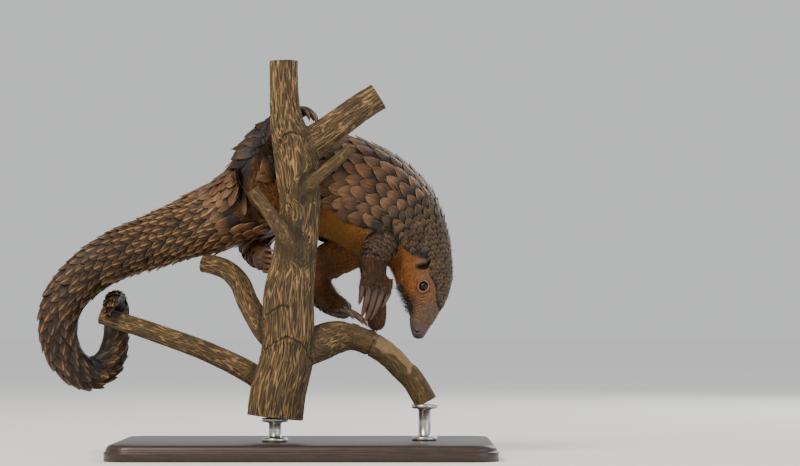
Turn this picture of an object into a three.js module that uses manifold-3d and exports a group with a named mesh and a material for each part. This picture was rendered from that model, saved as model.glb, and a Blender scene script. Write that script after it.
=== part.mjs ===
// A Sunda pangolin, life size, climbing head down round a tree stem, on a plain display stand.
// Millimetres, +Z up, the head towards +X, the animal's right side towards -Y.
// The origin is the middle of the flat underside of the base.

import * as THREE from "three";
import { mergeVertices } from "three/addons/utils/BufferGeometryUtils.js";
import Module from "manifold-3d";

const wasm = await Module();
wasm.setup();

// Fit and fineness
const FIT = 0.32; // gap between pieces that touch
const CUT = 0.34; // thickness of the thin cuts that part the body
const SAMPLES_PER_SPAN = 14; // points worked out between two stations of a curve
const BODY_SIDES = 24;
const BODY_STEP = 13;
const LIMB_SIDES = 12;
const LIMB_STEP = 12.4;
const CLAW_SIDES = 6;
const CLAW_RINGS = 4;
const CLAW_FLATNESS = 0.6; // half width of a claw against its half height
const CLAW_ROOT = 6; // how far a claw starts inside the toe
const MIDDLE_CLAW = 2; // number of the middle claw, counted from 0
const CLAW_THICK = { least: 2.1, perLength: 0.078, taper: 0.5, tip: 0.5 }; // half height of a claw
const WOOD_SIDES = 12;
const WOOD_STEP = 21;
const THIN_WOOD = { radius: 12.5, sides: 8 }; // sides of a branch whose root is thinner than this

// The middle line of the body from the nose to the tip of the tail.
// A row is x, y, z, half height from belly to back, half width, and roll in degrees about the line.
const AXIS = [
  [113, -2.5, 116.6, 3.4, 3.6, 0],
  [113.6, -1.8, 122, 7.3, 7.2, 0],
  [115, -1, 131, 10.9, 9.4, 0],
  [118, 0, 143, 15.2, 12.6, 0],
  [120, 1, 154, 20.2, 16.2, 0],
  [120.6, 2, 165.5, 25, 19.8, 0],
  [120, 4, 179.5, 28.6, 23.4, 0],
  [117, 6, 194, 31.4, 26.4, 1],
  [111.5, 9, 208, 36.8, 30, 3],
  [103, 12, 221.5, 43.8, 36, 6],
  [91, 16, 235.5, 50.9, 43, 12],
  [73, 22, 251, 55, 49.5, 20],
  [48.5, 29, 264.5, 56.5, 53, 28],
  [20, 36, 273, 56, 54, 35],
  [-9.5, 39, 276.5, 54.5, 53.5, 40],
  [-32, 40, 272, 50.5, 51, 45],
  [-53, 39, 259.5, 40.5, 44, 52],
  [-74, 36, 247.5, 31, 37.5, 60],
];
const TAIL_LINE = [
  [-96, 33, 238],
  [-119, 29, 229],
  [-149, 22, 217],
  [-181, 13, 205],
  [-214, 7, 186],
  [-240, 4, 157],
  [-247, 7, 124],
  [-239, 14, 98.5],
  [-223, 22, 84],
  [-205, 28, 89],
  [-195, 30, 105],
  [-191, 27.5, 127],
  [-190, 22, 146],
  [-191, 8, 156.5],
  [-193, -6, 153.5],
  [-195, -14, 143.5],
];
const TAIL_ROOT = { tall: 25, wide: 35.5, roll: 68 };
const TAIL_TIP = { tall: 6, wide: 9, roll: 64 };
const TAIL_HOOK_ROLL = 36; // roll at the low bend of the tail
const TAIL_POINT = { tall: 3, wide: 4.5 }; // size of the very tip
const TAIL_TAPER = { tall: 0.56, wide: 0.64 }; // powers by which the tail narrows
const TAIL_HOOK_SHARE = 0.5; // share of the tail's rows up to its low bend
const TAIL_CURL_SHARE = 0.6; // share at which its curled end starts to roll back

// Where the thin cuts part the body, as row numbers of the middle line
const CUTS = { head: 7.4, neck: 10, chest: 12.8, loin: 17 };
const TAIL_LENGTHS = 5;

// Scale rows stand proud of the hollows between them by this much, none on the bare muzzle
const RELIEF = 0.9;
const BARE_MUZZLE = 60; // length of the bare part of the head, from the nose

// Eyes and ears, as places on the head: distance from the nose and angle from the back of the head
const EYE = { along: 51.5, angle: 95, radius: 5, sunk: 3.3 };
const EAR = { along: 72, angle: 89, long: 9.5, high: 4.6, thick: 2.4, lift: 0.6 };

// Limbs: rows are x, y, z, half height and half width. The claws' points lean together by fan degrees each
const LIMBS = {
  foreleg_right: {
    up: [1, -0.4, 0],
    rows: [[84, 4, 236, 26, 24], [79, -10, 216, 22, 20], [69.5, -20, 200, 17, 16],
      [68.5, -24.5, 184, 14.5, 13.5], [69.5, -25.5, 170, 12.8, 12], [70, -24.5, 156, 13, 10.3],
      [71, -22, 143, 12.2, 9.2], [71.5, -17.5, 132, 9.6, 8.4], [72, -13.5, 125.5, 5, 6]],
    split: 3,
    knuckles: {
      at: [69.5, -36, 161], ahead: [-0.2, -0.14, -1], curl: [-0.3, 0.9, 0],
      spread: 6.5, bend: 44, fan: 4,
    },
    claws: [15, 28, 32, 29, 15],
  },
  foreleg_left: {
    up: [0.4, 0.3, 1],
    rows: [[72, 34, 224, 28, 26], [46, 40, 209, 23, 22], [14, 45, 189, 18, 17], [11, 38, 171, 16.5, 15],
      [20, 26, 158, 14.5, 13], [32, 14, 149.5, 12, 12], [44, 5, 144, 8.5, 10.5]],
    split: 3,
    knuckles: {
      at: [44, 5, 144], ahead: [0.95, -0.28, -0.06], curl: [0.1, -0.1, -1],
      spread: 6, bend: 55, fan: 2,
    },
    claws: [12, 22, 26, 22, 12],
  },
  hindleg_right: {
    up: [-1, 0, 0],
    rows: [[-24, 14, 258, 27, 30], [-41, -2, 274, 24, 25], [-52, -9, 292, 19, 19], [-44, -6, 311, 16.5, 15],
      [-32, -4, 327, 15.5, 13], [-18, -8, 339, 11.5, 12], [-7, -12, 345, 8.5, 10]],
    split: 2.6,
    knuckles: {
      at: [-7, -12.5, 345], ahead: [0.72, -0.36, 0.6], curl: [0.45, -0.35, -0.8],
      spread: 6.4, bend: 118, fan: 0,
    },
    claws: [15, 25, 30, 27, 15],
  },
  hindleg_left: {
    up: [-1, 0, 0],
    rows: [[-28, 62, 262, 26, 26], [-44, 70, 240, 24, 23], [-53, 66, 217, 18, 18], [-50, 46, 203, 14, 14],
      [-45, 24, 199, 12, 12.5], [-42, 4, 197, 11, 12], [-39, -9, 195.5, 9, 11]],
    split: 2.6,
    knuckles: {
      at: [-39.2, -9, 195.5], ahead: [-0.12, -1, -0.08], curl: [1, -0.3, -0.1],
      spread: 5.3, bend: 75, fan: 0,
    },
    claws: [12, 20, 23, 20, 12],
  },
};

// The perch: rows are x, y, z and radius. Wood is round, with a slow wave in its radius
const STEM = [
  [-28, -41, 40, 28], [-25, -41, 64, 28], [-15.5, -41, 105, 26.5], [-15, -41, 158, 25.5], [-10, -41, 193, 22.5],
  [-4, -41, 243, 20.6], [-6, -41, 280, 21.8], [-9, -41, 305, 22], [-17, -41, 332, 17], [-19.5, -41, 362, 14.6],
  [-20, -41, 392, 14.4],
];
const BRANCHES = {
  perch_branch_upper: [[-8, -41, 291, 15], [6, -41, 308, 17], [26, -41, 323.5, 15.4], [52, -41, 343, 14.4],
    [74, -41, 357, 14]],
  perch_branch_lower: [[-13, -41, 103, 20], [14, -28, 113, 18.6], [33, -17, 119, 16.8], [49, -11, 119, 13.8],
    [67, -8, 112.5, 13.2], [84.5, -6, 101, 12.8], [98, -6, 87, 12.4], [109.5, -6, 74, 11.8],
    [121, -6, 54, 11.8]],
  perch_branch_side: [[-15, -41, 100, 13], [-39, -27, 126, 12], [-56, -10, 153, 11.2], [-66, 6, 174, 10.8],
    [-81, 18, 187.5, 10.4], [-103, 27, 194, 10]],
  perch_branch_tail: [[-17, -41, 58, 13.5], [-50, -31, 82, 11.5], [-95, -18, 104, 10.4], [-145, -6, 122, 9.7],
    [-204, 6, 141, 9.2]],
  perch_branch_near_right: [[-3, -49, 258, 9], [5, -57, 267.5, 8], [15, -61, 276.5, 6.6], [30, -62, 289.5, 6],
    [48, -62, 305, 5.8]],
  perch_branch_near_left: [[-5, -47, 197, 12], [-13, -57, 212, 10], [-24, -63, 228, 8], [-36, -65.5, 245, 7.2],
    [-49, -67, 263.5, 6.8]],
};
// Wood swells and narrows by a share of its radius, in waves along it, around it and from ring to ring
const WOOD_WAVE = { share: 0.035, along: 0.09, sideStep: 1.7, around: 2.3 };

// Display stand: a flat oval-cornered base and two round rods with collars
const BASE = { x: 380, y: 270, high: 16, corner: 26, bevel: 2 };
const ROD = { radius: 6, collar: 13, collarHigh: 4, sides: 14 };
const ROD_TOPS = [{ x: -28, y: -41, z: 40 - FIT }, { x: 119.5, y: -6, z: 52 }];

const COLOURS = {
  scale: 0x6f5a45, ear: 0x8a6248, eye: 0x120c0a, claw: 0x8d7566, limb: 0x5d4632,
  bark: 0x8a765a, base: 0x2d2b29, rod: 0xb4b2ad,
};

const { lerp } = THREE.MathUtils;
const vec = (values) => new THREE.Vector3(values[0], values[1], values[2]);

// One value of a Catmull-Rom curve through four numbers
function cubic(a, b, c, d, t) {
  const slope = c - a;
  const curve = 2 * a - 5 * b + 4 * c - d;
  const twist = 3 * b - a - 3 * c + d;
  return 0.5 * (2 * b + slope * t + curve * t * t + twist * t * t * t);
}

// A row of numbers between the rows of a list, at a place counted in rows
function between(rows, place) {
  const last = rows.length - 1;
  const first = Math.min(Math.max(Math.floor(place), 0), last - 1);
  const pick = (i) => rows[Math.min(Math.max(i, 0), last)];
  return rows[0].map((_, k) =>
    cubic(pick(first - 1)[k], pick(first)[k], pick(first + 1)[k], pick(first + 2)[k], place - first));
}

// A swelling, rolling tube along a smooth line, which gives its frame at any distance along it
class Sweep {
  constructor(rows, up) {
    this.samples = [];
    const count = (rows.length - 1) * SAMPLES_PER_SPAN;
    let along = 0;
    for (let i = 0; i <= count; i++) {
      const row = between(rows, i / SAMPLES_PER_SPAN);
      const at = vec(row);
      if (i > 0) along += at.distanceTo(this.samples[i - 1].at);
      this.samples.push({ at, along, tall: row[3], wide: row[4] ?? row[3], roll: row[5] ?? 0 });
    }
    this.length = along;
    let side = vec(up);
    for (let i = 0; i <= count; i++) {
      const before = this.samples[Math.max(i - 1, 0)];
      const after = this.samples[Math.min(i + 1, count)];
      const ahead = after.at.clone().sub(before.at).normalize();
      side = side.clone().addScaledVector(ahead, -side.dot(ahead)).normalize();
      this.samples[i].ahead = ahead;
      this.samples[i].up = side;
    }
  }

  // Distance along the line of a place counted in rows
  distance(place) {
    return this.samples[Math.round(place * SAMPLES_PER_SPAN)].along;
  }

  frame(along) {
    const { samples } = this;
    const limited = Math.min(Math.max(along, 0), this.length);
    let i = samples.findIndex((sample) => sample.along >= limited);
    i = Math.max(i, 1);
    const a = samples[i - 1];
    const b = samples[i];
    const t = (limited - a.along) / Math.max(b.along - a.along, 1e-9);
    const ahead = a.ahead.clone().lerp(b.ahead, t).normalize();
    const level = a.up.clone().lerp(b.up, t);
    level.addScaledVector(ahead, -level.dot(ahead)).normalize();
    const aside = ahead.clone().cross(level);
    const roll = THREE.MathUtils.degToRad(lerp(a.roll, b.roll, t));
    const up = level.clone().multiplyScalar(Math.cos(roll)).addScaledVector(aside, Math.sin(roll));
    const left = level.clone().multiplyScalar(-Math.sin(roll)).addScaledVector(aside, Math.cos(roll));
    const tall = lerp(a.tall, b.tall, t);
    const wide = lerp(a.wide, b.wide, t);
    return { at: a.at.clone().lerp(b.at, t), ahead, up, left, tall, wide };
  }

  // A point of the surface: angle 0 is the back, a quarter turn the animal's left side
  point(along, angle, grow = 0) {
    const { at, up, left, tall, wide } = this.frame(along);
    return at.clone()
      .addScaledVector(up, (tall + grow) * Math.cos(angle))
      .addScaledVector(left, (wide + grow) * Math.sin(angle));
  }

  outward(along, angle) {
    const { up, left, tall, wide } = this.frame(along);
    return up.clone().multiplyScalar(Math.cos(angle) / tall)
      .addScaledVector(left, Math.sin(angle) / wide).normalize();
  }

  // A closed tube from one distance to another, with flat ends
  tube(from, to, { sides, step, grow = 0, relief = () => 0 }) {
    const rings = Math.max(2, Math.round((to - from) / step) + 1);
    const points = [];
    for (let i = 0; i < rings; i++) {
      const along = from + ((to - from) * i) / (rings - 1);
      for (let j = 0; j < sides; j++) {
        points.push(this.point(along, (2 * Math.PI * j) / sides, grow + relief(along, i, j)));
      }
    }
    points.push(this.frame(from).at, this.frame(to).at);
    return closedTube(points, rings, sides);
  }
}

// Rings of points joined into a closed surface, the last two points being the middles of the ends
function closedTube(points, rings, sides) {
  const faces = [];
  const start = rings * sides;
  for (let i = 0; i < rings - 1; i++) {
    for (let j = 0; j < sides; j++) {
      const a = i * sides + j;
      const b = i * sides + ((j + 1) % sides);
      faces.push(a, b, b + sides, a, b + sides, a + sides);
    }
  }
  for (let j = 0; j < sides; j++) {
    const next = (j + 1) % sides;
    faces.push(start, next, j);
    faces.push(start + 1, start - sides + j, start - sides + next);
  }
  const geometry = new THREE.BufferGeometry();
  const flat = points.flatMap((point) => [point.x, point.y, point.z]);
  geometry.setAttribute("position", new THREE.Float32BufferAttribute(flat, 3));
  geometry.setIndex(faces);
  return geometry;
}

// A closed geometry as a solid that can be joined and cut
function solid(geometry) {
  const bare = geometry.clone();
  bare.deleteAttribute("normal");
  bare.deleteAttribute("uv");
  const merged = mergeVertices(bare, 1e-4);
  return new wasm.Manifold(new wasm.Mesh({
    numProp: 3,
    vertProperties: new Float32Array(merged.attributes.position.array),
    triVerts: new Uint32Array(merged.index.array),
  }));
}

// What is left of a solid after the others are taken away, keeping only its largest piece
function without(body, ...tools) {
  let rest = body;
  for (const tool of tools) {
    rest = rest.subtract(tool);
  }
  const pieces = rest.decompose();
  return pieces.reduce((best, piece) => (piece.volume() > best.volume() ? piece : best));
}

function surface(body) {
  const { vertProperties, triVerts } = body.getMesh();
  const geometry = new THREE.BufferGeometry();
  geometry.setAttribute("position", new THREE.BufferAttribute(new Float32Array(vertProperties), 3));
  geometry.setIndex(new THREE.BufferAttribute(new Uint32Array(triVerts), 1));
  return geometry;
}

const group = new THREE.Group();

function add(name, body, colour, roughness = 0.6, metalness = 0) {
  const material = new THREE.MeshStandardMaterial({ color: colour, roughness, metalness });
  const mesh = new THREE.Mesh(surface(body), material);
  mesh.name = name;
  group.add(mesh);
}

// The middle line goes on into the tail, which narrows evenly and rolls as it curls
function tailRows() {
  const last = TAIL_LINE.length - 1;
  return TAIL_LINE.map((point, i) => {
    const share = i / last;
    const toHook = Math.min(share / TAIL_HOOK_SHARE, 1);
    const pastCurl = Math.max((share - TAIL_CURL_SHARE) / (1 - TAIL_CURL_SHARE), 0);
    const roll = lerp(TAIL_ROOT.roll, TAIL_HOOK_ROLL, toHook ** 2)
      + (TAIL_TIP.roll - TAIL_HOOK_ROLL) * pastCurl;
    if (i === last) return [...point, TAIL_POINT.tall, TAIL_POINT.wide, roll];
    const tall = lerp(TAIL_ROOT.tall, TAIL_TIP.tall, share ** TAIL_TAPER.tall);
    const wide = lerp(TAIL_ROOT.wide, TAIL_TIP.wide, share ** TAIL_TAPER.wide);
    return [...point, tall, wide, roll];
  });
}

const body = new Sweep([...AXIS, ...tailRows()], [1, 0, 0]);
const limbs = Object.entries(LIMBS).map(([name, limb]) => (
  { name, ...limb, sweep: new Sweep(limb.rows, limb.up) }));
const stem = new Sweep(STEM, [1, 0, 0]);
const branches = Object.entries(BRANCHES).map(([name, rows]) => ({ name, sweep: new Sweep(rows, [0, 0, 1]) }));

// Staggered rows of scales as a lattice of low humps
const scaleRows = (along, i, j) => {
  if (along < BARE_MUZZLE) return 0;
  return (i + j) % 2 === 0 ? 0 : -RELIEF;
};
const bark = (sweep) => (along, i, j) => {
  const { tall } = sweep.frame(along);
  const { share, along: pace, sideStep, around } = WOOD_WAVE;
  return tall * share * Math.sin(along * pace + j * sideStep) * Math.cos(j * around + i);
};

const bodyTube = (from, to, grow = 0, relief = scaleRows) =>
  solid(body.tube(from, to, { sides: BODY_SIDES, step: BODY_STEP, grow, relief }));
const limbTube = (limb, from, to, grow = 0) =>
  solid(limb.sweep.tube(from, to, { sides: LIMB_SIDES, step: LIMB_STEP, grow }));
const woodSides = (sweep) => (sweep.frame(0).tall < THIN_WOOD.radius ? THIN_WOOD.sides : WOOD_SIDES);
const woodTube = (sweep, grow = 0) =>
  solid(sweep.tube(0, sweep.length, { sides: woodSides(sweep), step: WOOD_STEP, grow, relief: bark(sweep) }));

// The perch, each branch cut where it leaves the stem
const stemBody = woodTube(stem);
const stemRoom = woodTube(stem, FIT);
const woods = branches.map(({ name, sweep }) => ({ name, body: woodTube(sweep), room: woodTube(sweep, FIT) }));
const lower = woods.find(({ name }) => name === "perch_branch_lower");
const side = woods.find(({ name }) => name === "perch_branch_side");
const low = woods.find(({ name }) => name === "perch_branch_tail");
add("perch_stem", stemBody, COLOURS.bark, 0.85);
for (const wood of woods) {
  const tools = [stemRoom];
  if (wood === low) tools.push(side.room);
  if (wood === side) tools.push(lower.room);
  add(wood.name, without(wood.body, ...tools), COLOURS.bark, 0.85);
}
const perchRoom = woods.reduce((all, wood) => all.add(wood.room), stemRoom);

// Places on the head, the same on both sides
function headPlace({ along, angle }, sign) {
  const turn = THREE.MathUtils.degToRad(angle) * sign;
  return { at: body.point(along, turn), out: body.outward(along, turn), ahead: body.frame(along).ahead };
}

function eyeBall(sign, grow) {
  const { at, out } = headPlace(EYE, sign);
  const ball = new THREE.IcosahedronGeometry(EYE.radius + grow, 2);
  ball.translate(...at.addScaledVector(out, -EYE.sunk).toArray());
  return solid(ball);
}

function earFlap(sign, grow) {
  const { at, out, ahead } = headPlace(EAR, sign);
  const flap = new THREE.SphereGeometry(1, 10, 6);
  const long = ahead.clone().cross(out).normalize();
  const turn = new THREE.Matrix4().makeBasis(long, out, long.clone().cross(out));
  flap.scale(EAR.long + grow, EAR.high + grow, EAR.thick + grow);
  flap.applyMatrix4(turn);
  flap.translate(...at.addScaledVector(out, EAR.lift).toArray());
  return solid(flap);
}

// Head, neck, chest and loin, then the tail in lengths, parted by thin cuts
const marks = [0, ...Object.values(CUTS).map((place) => body.distance(place))];
const tailStart = marks[marks.length - 1];
const tailLong = body.length - tailStart;
for (let i = 1; i <= TAIL_LENGTHS; i++) {
  marks.push(tailStart + (tailLong * i) / TAIL_LENGTHS);
}
const names = ["head", "neck", "trunk_chest", "trunk_loin"];
for (let i = 1; i <= TAIL_LENGTHS; i++) {
  names.push(`tail_${i}`);
}
const eyes = [["eye_left", 1], ["eye_right", -1]];
let bodyRoom = null;
names.forEach((name, i) => {
  const from = marks[i] + (i === 0 ? 0 : CUT / 2);
  const to = marks[i + 1] - (i === names.length - 1 ? 0 : CUT / 2);
  const tools = name === "head" ? eyes.map(([, sign]) => eyeBall(sign, FIT)) : [];
  add(name, without(bodyTube(from, to), ...tools, perchRoom), COLOURS.scale);
  const room = bodyTube(Math.max(from - CUT, 0), to + CUT, FIT, () => 0);
  bodyRoom = bodyRoom ? bodyRoom.add(room) : room;
});
for (const [name, sign] of eyes) {
  add(name, eyeBall(sign, 0), COLOURS.eye, 0.05);
}
for (const [name, sign] of [["ear_left", 1], ["ear_right", -1]]) {
  add(name, without(earFlap(sign, 0), bodyRoom), COLOURS.ear);
}

// A claw: a flattened horn that starts straight ahead and curls to its point
function claw({ at, ahead, curl, bend, spread, fan }, long, order) {
  const straight = vec(ahead).normalize();
  const towards = vec(curl);
  towards.addScaledVector(straight, -towards.dot(straight)).normalize();
  const across = straight.clone().cross(towards);
  const lean = THREE.MathUtils.degToRad(-fan * order);
  const forward = straight.multiplyScalar(Math.cos(lean)).addScaledVector(across, Math.sin(lean));
  const turned = THREE.MathUtils.degToRad(bend);
  const root = vec(at).addScaledVector(across, order * spread).addScaledVector(forward, -CLAW_ROOT);
  const rows = [];
  for (let i = 0; i <= CLAW_RINGS; i++) {
    const share = i / CLAW_RINGS;
    const angle = turned * share;
    const reach = (long + CLAW_ROOT) / turned;
    const point = root.clone()
      .addScaledVector(forward, reach * Math.sin(angle))
      .addScaledVector(towards, reach * (1 - Math.cos(angle)));
    const thick = (CLAW_THICK.least + long * CLAW_THICK.perLength) * (1 - share) ** CLAW_THICK.taper
      + CLAW_THICK.tip;
    rows.push([...point.toArray(), thick, thick * CLAW_FLATNESS]);
  }
  const line = new Sweep(rows, towards.clone().negate().toArray());
  return line.tube(0, line.length, { sides: CLAW_SIDES, step: line.length / CLAW_RINGS });
}

// Legs: the upper and lower part each in its own node, with five claws on the foot
for (const limb of limbs) {
  const { name, sweep, split, knuckles, claws } = limb;
  const joint = sweep.distance(split);
  const upperName = name.startsWith("fore") ? "upper" : "thigh";
  const lowerName = name.startsWith("fore") ? "lower" : "shank";
  const upper = limbTube(limb, 0, joint - CUT / 2);
  const lowerPart = limbTube(limb, joint + CUT / 2, sweep.length);
  add(`${name}_${upperName}`, without(upper, bodyRoom, perchRoom), COLOURS.limb);
  add(`${name}_${lowerName}`, without(lowerPart, bodyRoom, perchRoom), COLOURS.limb);
  const footRoom = limbTube(limb, joint, sweep.length, FIT);
  claws.forEach((long, i) => {
    const horn = solid(claw(knuckles, long, i - MIDDLE_CLAW));
    add(`claw_${name}_${i + 1}`, without(horn, footRoom, perchRoom), COLOURS.claw, 0.45);
  });
}

// A base plate with round corners and a small bevel, flat underneath
function basePlate() {
  const { x, y, high, corner, bevel } = BASE;
  const halfX = x / 2 - bevel;
  const halfY = y / 2 - bevel;
  const outline = new THREE.Shape();
  outline.moveTo(halfX - corner, -halfY);
  outline.absarc(halfX - corner, -halfY + corner, corner, -Math.PI / 2, 0);
  outline.absarc(halfX - corner, halfY - corner, corner, 0, Math.PI / 2);
  outline.absarc(-halfX + corner, halfY - corner, corner, Math.PI / 2, Math.PI);
  outline.absarc(-halfX + corner, -halfY + corner, corner, Math.PI, 1.5 * Math.PI);
  const plate = new THREE.ExtrudeGeometry(outline, {
    depth: high - 2 * bevel, bevelThickness: bevel, bevelSize: bevel, bevelSegments: 1, curveSegments: 5,
  });
  plate.translate(0, 0, bevel);
  return solid(plate);
}

// A rod turned with a collar at its foot and its head, standing on the base
function rod({ x, y, z }) {
  const { radius, collar, collarHigh, sides } = ROD;
  const foot = BASE.high + FIT;
  const profile = [
    [0, foot], [collar, foot], [collar, foot + collarHigh], [radius, foot + collarHigh + 1],
    [radius, z - collarHigh - 1], [collar, z - collarHigh], [collar, z], [0, z],
  ].map(([r, h]) => new THREE.Vector2(r, h));
  const turned = new THREE.LatheGeometry(profile, sides);
  turned.rotateX(Math.PI / 2);
  turned.translate(x, y, 0);
  return solid(turned);
}

add("stand_base", basePlate(), COLOURS.base, 0.4);
ROD_TOPS.forEach((top, i) => {
  add(`stand_rod_${i + 1}`, without(rod(top), perchRoom), COLOURS.rod, 0.3, 1);
});

export default group;
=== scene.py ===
"""A still, life-size Sunda pangolin climbing head down round a cut stem, on a display stand.

Driving sizes are millimetres and degrees, in the row's own frame: +Z up, the head towards +X, the
animal's right side towards -Y. Meshes are made in metres.
"""

import logging
import math
from dataclasses import dataclass, field
from enum import Enum
from functools import partial
from itertools import product
from typing import Callable, ClassVar, Mapping, Sequence

import bmesh
import bpy
import numpy as np
from mathutils.bvhtree import BVHTree
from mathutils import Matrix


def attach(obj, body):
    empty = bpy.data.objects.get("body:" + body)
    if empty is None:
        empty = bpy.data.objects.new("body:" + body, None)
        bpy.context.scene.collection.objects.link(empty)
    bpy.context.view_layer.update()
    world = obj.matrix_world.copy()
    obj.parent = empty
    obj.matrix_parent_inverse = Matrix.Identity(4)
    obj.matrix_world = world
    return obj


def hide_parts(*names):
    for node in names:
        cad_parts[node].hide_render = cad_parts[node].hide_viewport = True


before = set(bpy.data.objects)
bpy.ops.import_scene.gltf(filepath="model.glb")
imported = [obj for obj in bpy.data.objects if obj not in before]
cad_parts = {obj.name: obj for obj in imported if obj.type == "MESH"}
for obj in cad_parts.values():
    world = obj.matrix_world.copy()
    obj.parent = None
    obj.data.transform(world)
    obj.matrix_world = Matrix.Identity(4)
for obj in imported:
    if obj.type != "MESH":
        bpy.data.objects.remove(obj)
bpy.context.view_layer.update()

LOG = logging.getLogger("pangolin")
MM = 0.001
SEED = 20
Row = Sequence[float]
Table = Sequence[tuple[float, float]]
Array = np.ndarray
Socket = bpy.types.NodeSocket
Marks = Mapping[str, Socket]


def read_table(table: Table, place: Array) -> Array:
    """Return the value of a table of (place, value) pairs at each place, in straight stretches."""
    places, values = zip(*table)
    return np.interp(place, places, values)


def smooth(low: float, high: float, value: Array) -> Array:
    """Return 0 below low, 1 above high and a smooth step between them."""
    share = np.clip((np.asarray(value, float) - low) / (high - low), 0, 1)
    return share * share * (3 - 2 * share)


def mix(a: Array, b: Array, share: Array) -> Array:
    """Return a where share is 0 and b where it is 1."""
    return a + (b - a) * share


def bell(value: Array, width: float) -> Array:
    """Return 1 at zero, falling off in a bell of that width."""
    return np.exp(-(np.asarray(value) / width) ** 2)


def unit(vectors: Array) -> Array:
    """Return the vectors at length 1."""
    return vectors / np.maximum(np.linalg.norm(vectors, axis=-1, keepdims=True), 1e-12)


def dot(a: Array, b: Array) -> Array:
    """Return the dot products of rows of vectors."""
    return (a * b).sum(axis=-1)


def linear(colour: str) -> tuple[float, float, float, float]:
    """Turn an sRGB hex colour into the linear RGBA that shaders take.

    Args:
        colour: Six hex digits after a hash.

    Returns:
        Linear red, green, blue and an alpha of 1.
    """
    shares = [int(colour[i:i + 2], 16) / 255 for i in (1, 3, 5)]
    red, green, blue = (s / 12.92 if s <= 0.04045 else ((s + 0.055) / 1.055) ** 2.4 for s in shares)
    return red, green, blue, 1.0


class Noise:
    """Smooth seeded noise in space, from about -1 to 1."""

    SIDE: ClassVar[int] = 32

    def __init__(self, seed: int) -> None:
        """Fill the lattice with random values."""
        self.lattice = np.random.default_rng(seed).uniform(-1, 1, (self.SIDE,) * 3)

    def __call__(self, places: Array, size: float) -> Array:
        """Return the noise at places, with hills about size across.

        Args:
            places: Points, one a row.
            size: Distance between the lattice's knots.

        Returns:
            One value for each point.
        """
        scaled = np.asarray(places) / size
        cell = np.floor(scaled).astype(int)
        share = scaled - cell
        share = share * share * (3 - 2 * share)
        total = np.zeros(len(scaled))
        for corner in product((0, 1), repeat=3):
            knot = (cell + corner) % self.SIDE
            weight = np.where(np.array(corner) == 1, share, 1 - share).prod(axis=1)
            total += weight * self.lattice[knot[:, 0], knot[:, 1], knot[:, 2]]
        return total


# Finishes


def wire(node: bpy.types.Node, inputs: Mapping | Sequence) -> None:
    """Set or link a node's inputs.

    Args:
        node: The node.
        inputs: What goes into each input, by name or in order: a socket, a value or a hex colour.
    """
    for key, value in inputs.items() if isinstance(inputs, Mapping) else enumerate(inputs):
        if isinstance(value, Socket):
            node.id_data.links.new(value, node.inputs[key])
        else:
            node.inputs[key].default_value = linear(value) if isinstance(value, str) else value


def put(tree: bpy.types.NodeTree, kind: str, inputs: Mapping | Sequence = (), out: int | str = 0,
        **settings) -> Socket:
    """Add a node to a material's tree, with its settings and links.

    Args:
        tree: The tree.
        kind: The node's class, without ShaderNode in front.
        inputs: What goes into its inputs, as wire() takes it.
        out: The output to return, by name or number.
        **settings: Attributes of the node.

    Returns:
        The output socket.
    """
    node = tree.nodes.new("ShaderNode" + kind)
    for name, value in settings.items():
        setattr(node, name, value)
    wire(node, inputs)
    return node.outputs[out]


@dataclass(frozen=True)
class Finish:
    """What a surface is made of and how it was made: subclasses fill in the nodes."""

    name: str
    marks: ClassVar[Sequence[str]] = ()  # values kept on the mesh's points that the finish reads

    def material(self) -> bpy.types.Material:
        """Return the finish's material, made once."""
        made = bpy.data.materials.get(self.name)
        if made is None:
            made = bpy.data.materials.new(self.name)
            made.use_nodes = True
            add = partial(put, made.node_tree)
            marks = {name: add("Attribute", out="Fac", attribute_name=name) for name in self.marks}
            self.fill(add, made.node_tree.nodes["Principled BSDF"], marks)
        return made

    def fill(self, add: Callable, shader: bpy.types.Node, marks: Marks) -> None:
        """Fill in the nodes.

        Args:
            add: Adds a node to the material's tree, as put() does.
            shader: The material's Principled shader.
            marks: The sockets of the finish's marks.
        """
        raise NotImplementedError

    @staticmethod
    def paint(add: Callable, colour: Socket | str, coats: Sequence[tuple],
              lights: Sequence[Socket] = ()) -> Socket:
        """Return a colour with others laid over it and then made lighter or darker.

        Args:
            add: Adds a node, as in fill().
            colour: The lowest colour.
            coats: How much of each other colour covers it, and that colour, from the lowest up.
            lights: Factors that the result is multiplied by.

        Returns:
            The mixed colour.
        """
        for share, over in coats:
            # Of a mix node, inputs 6 and 7 and output 2 are the ones for colours
            colour = add("Mix", {0: share, 6: colour, 7: over}, 2, data_type="RGBA")
        for light in lights:
            colour = add("VectorMath", {0: colour, "Scale": light}, operation="SCALE")
        return colour


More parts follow.
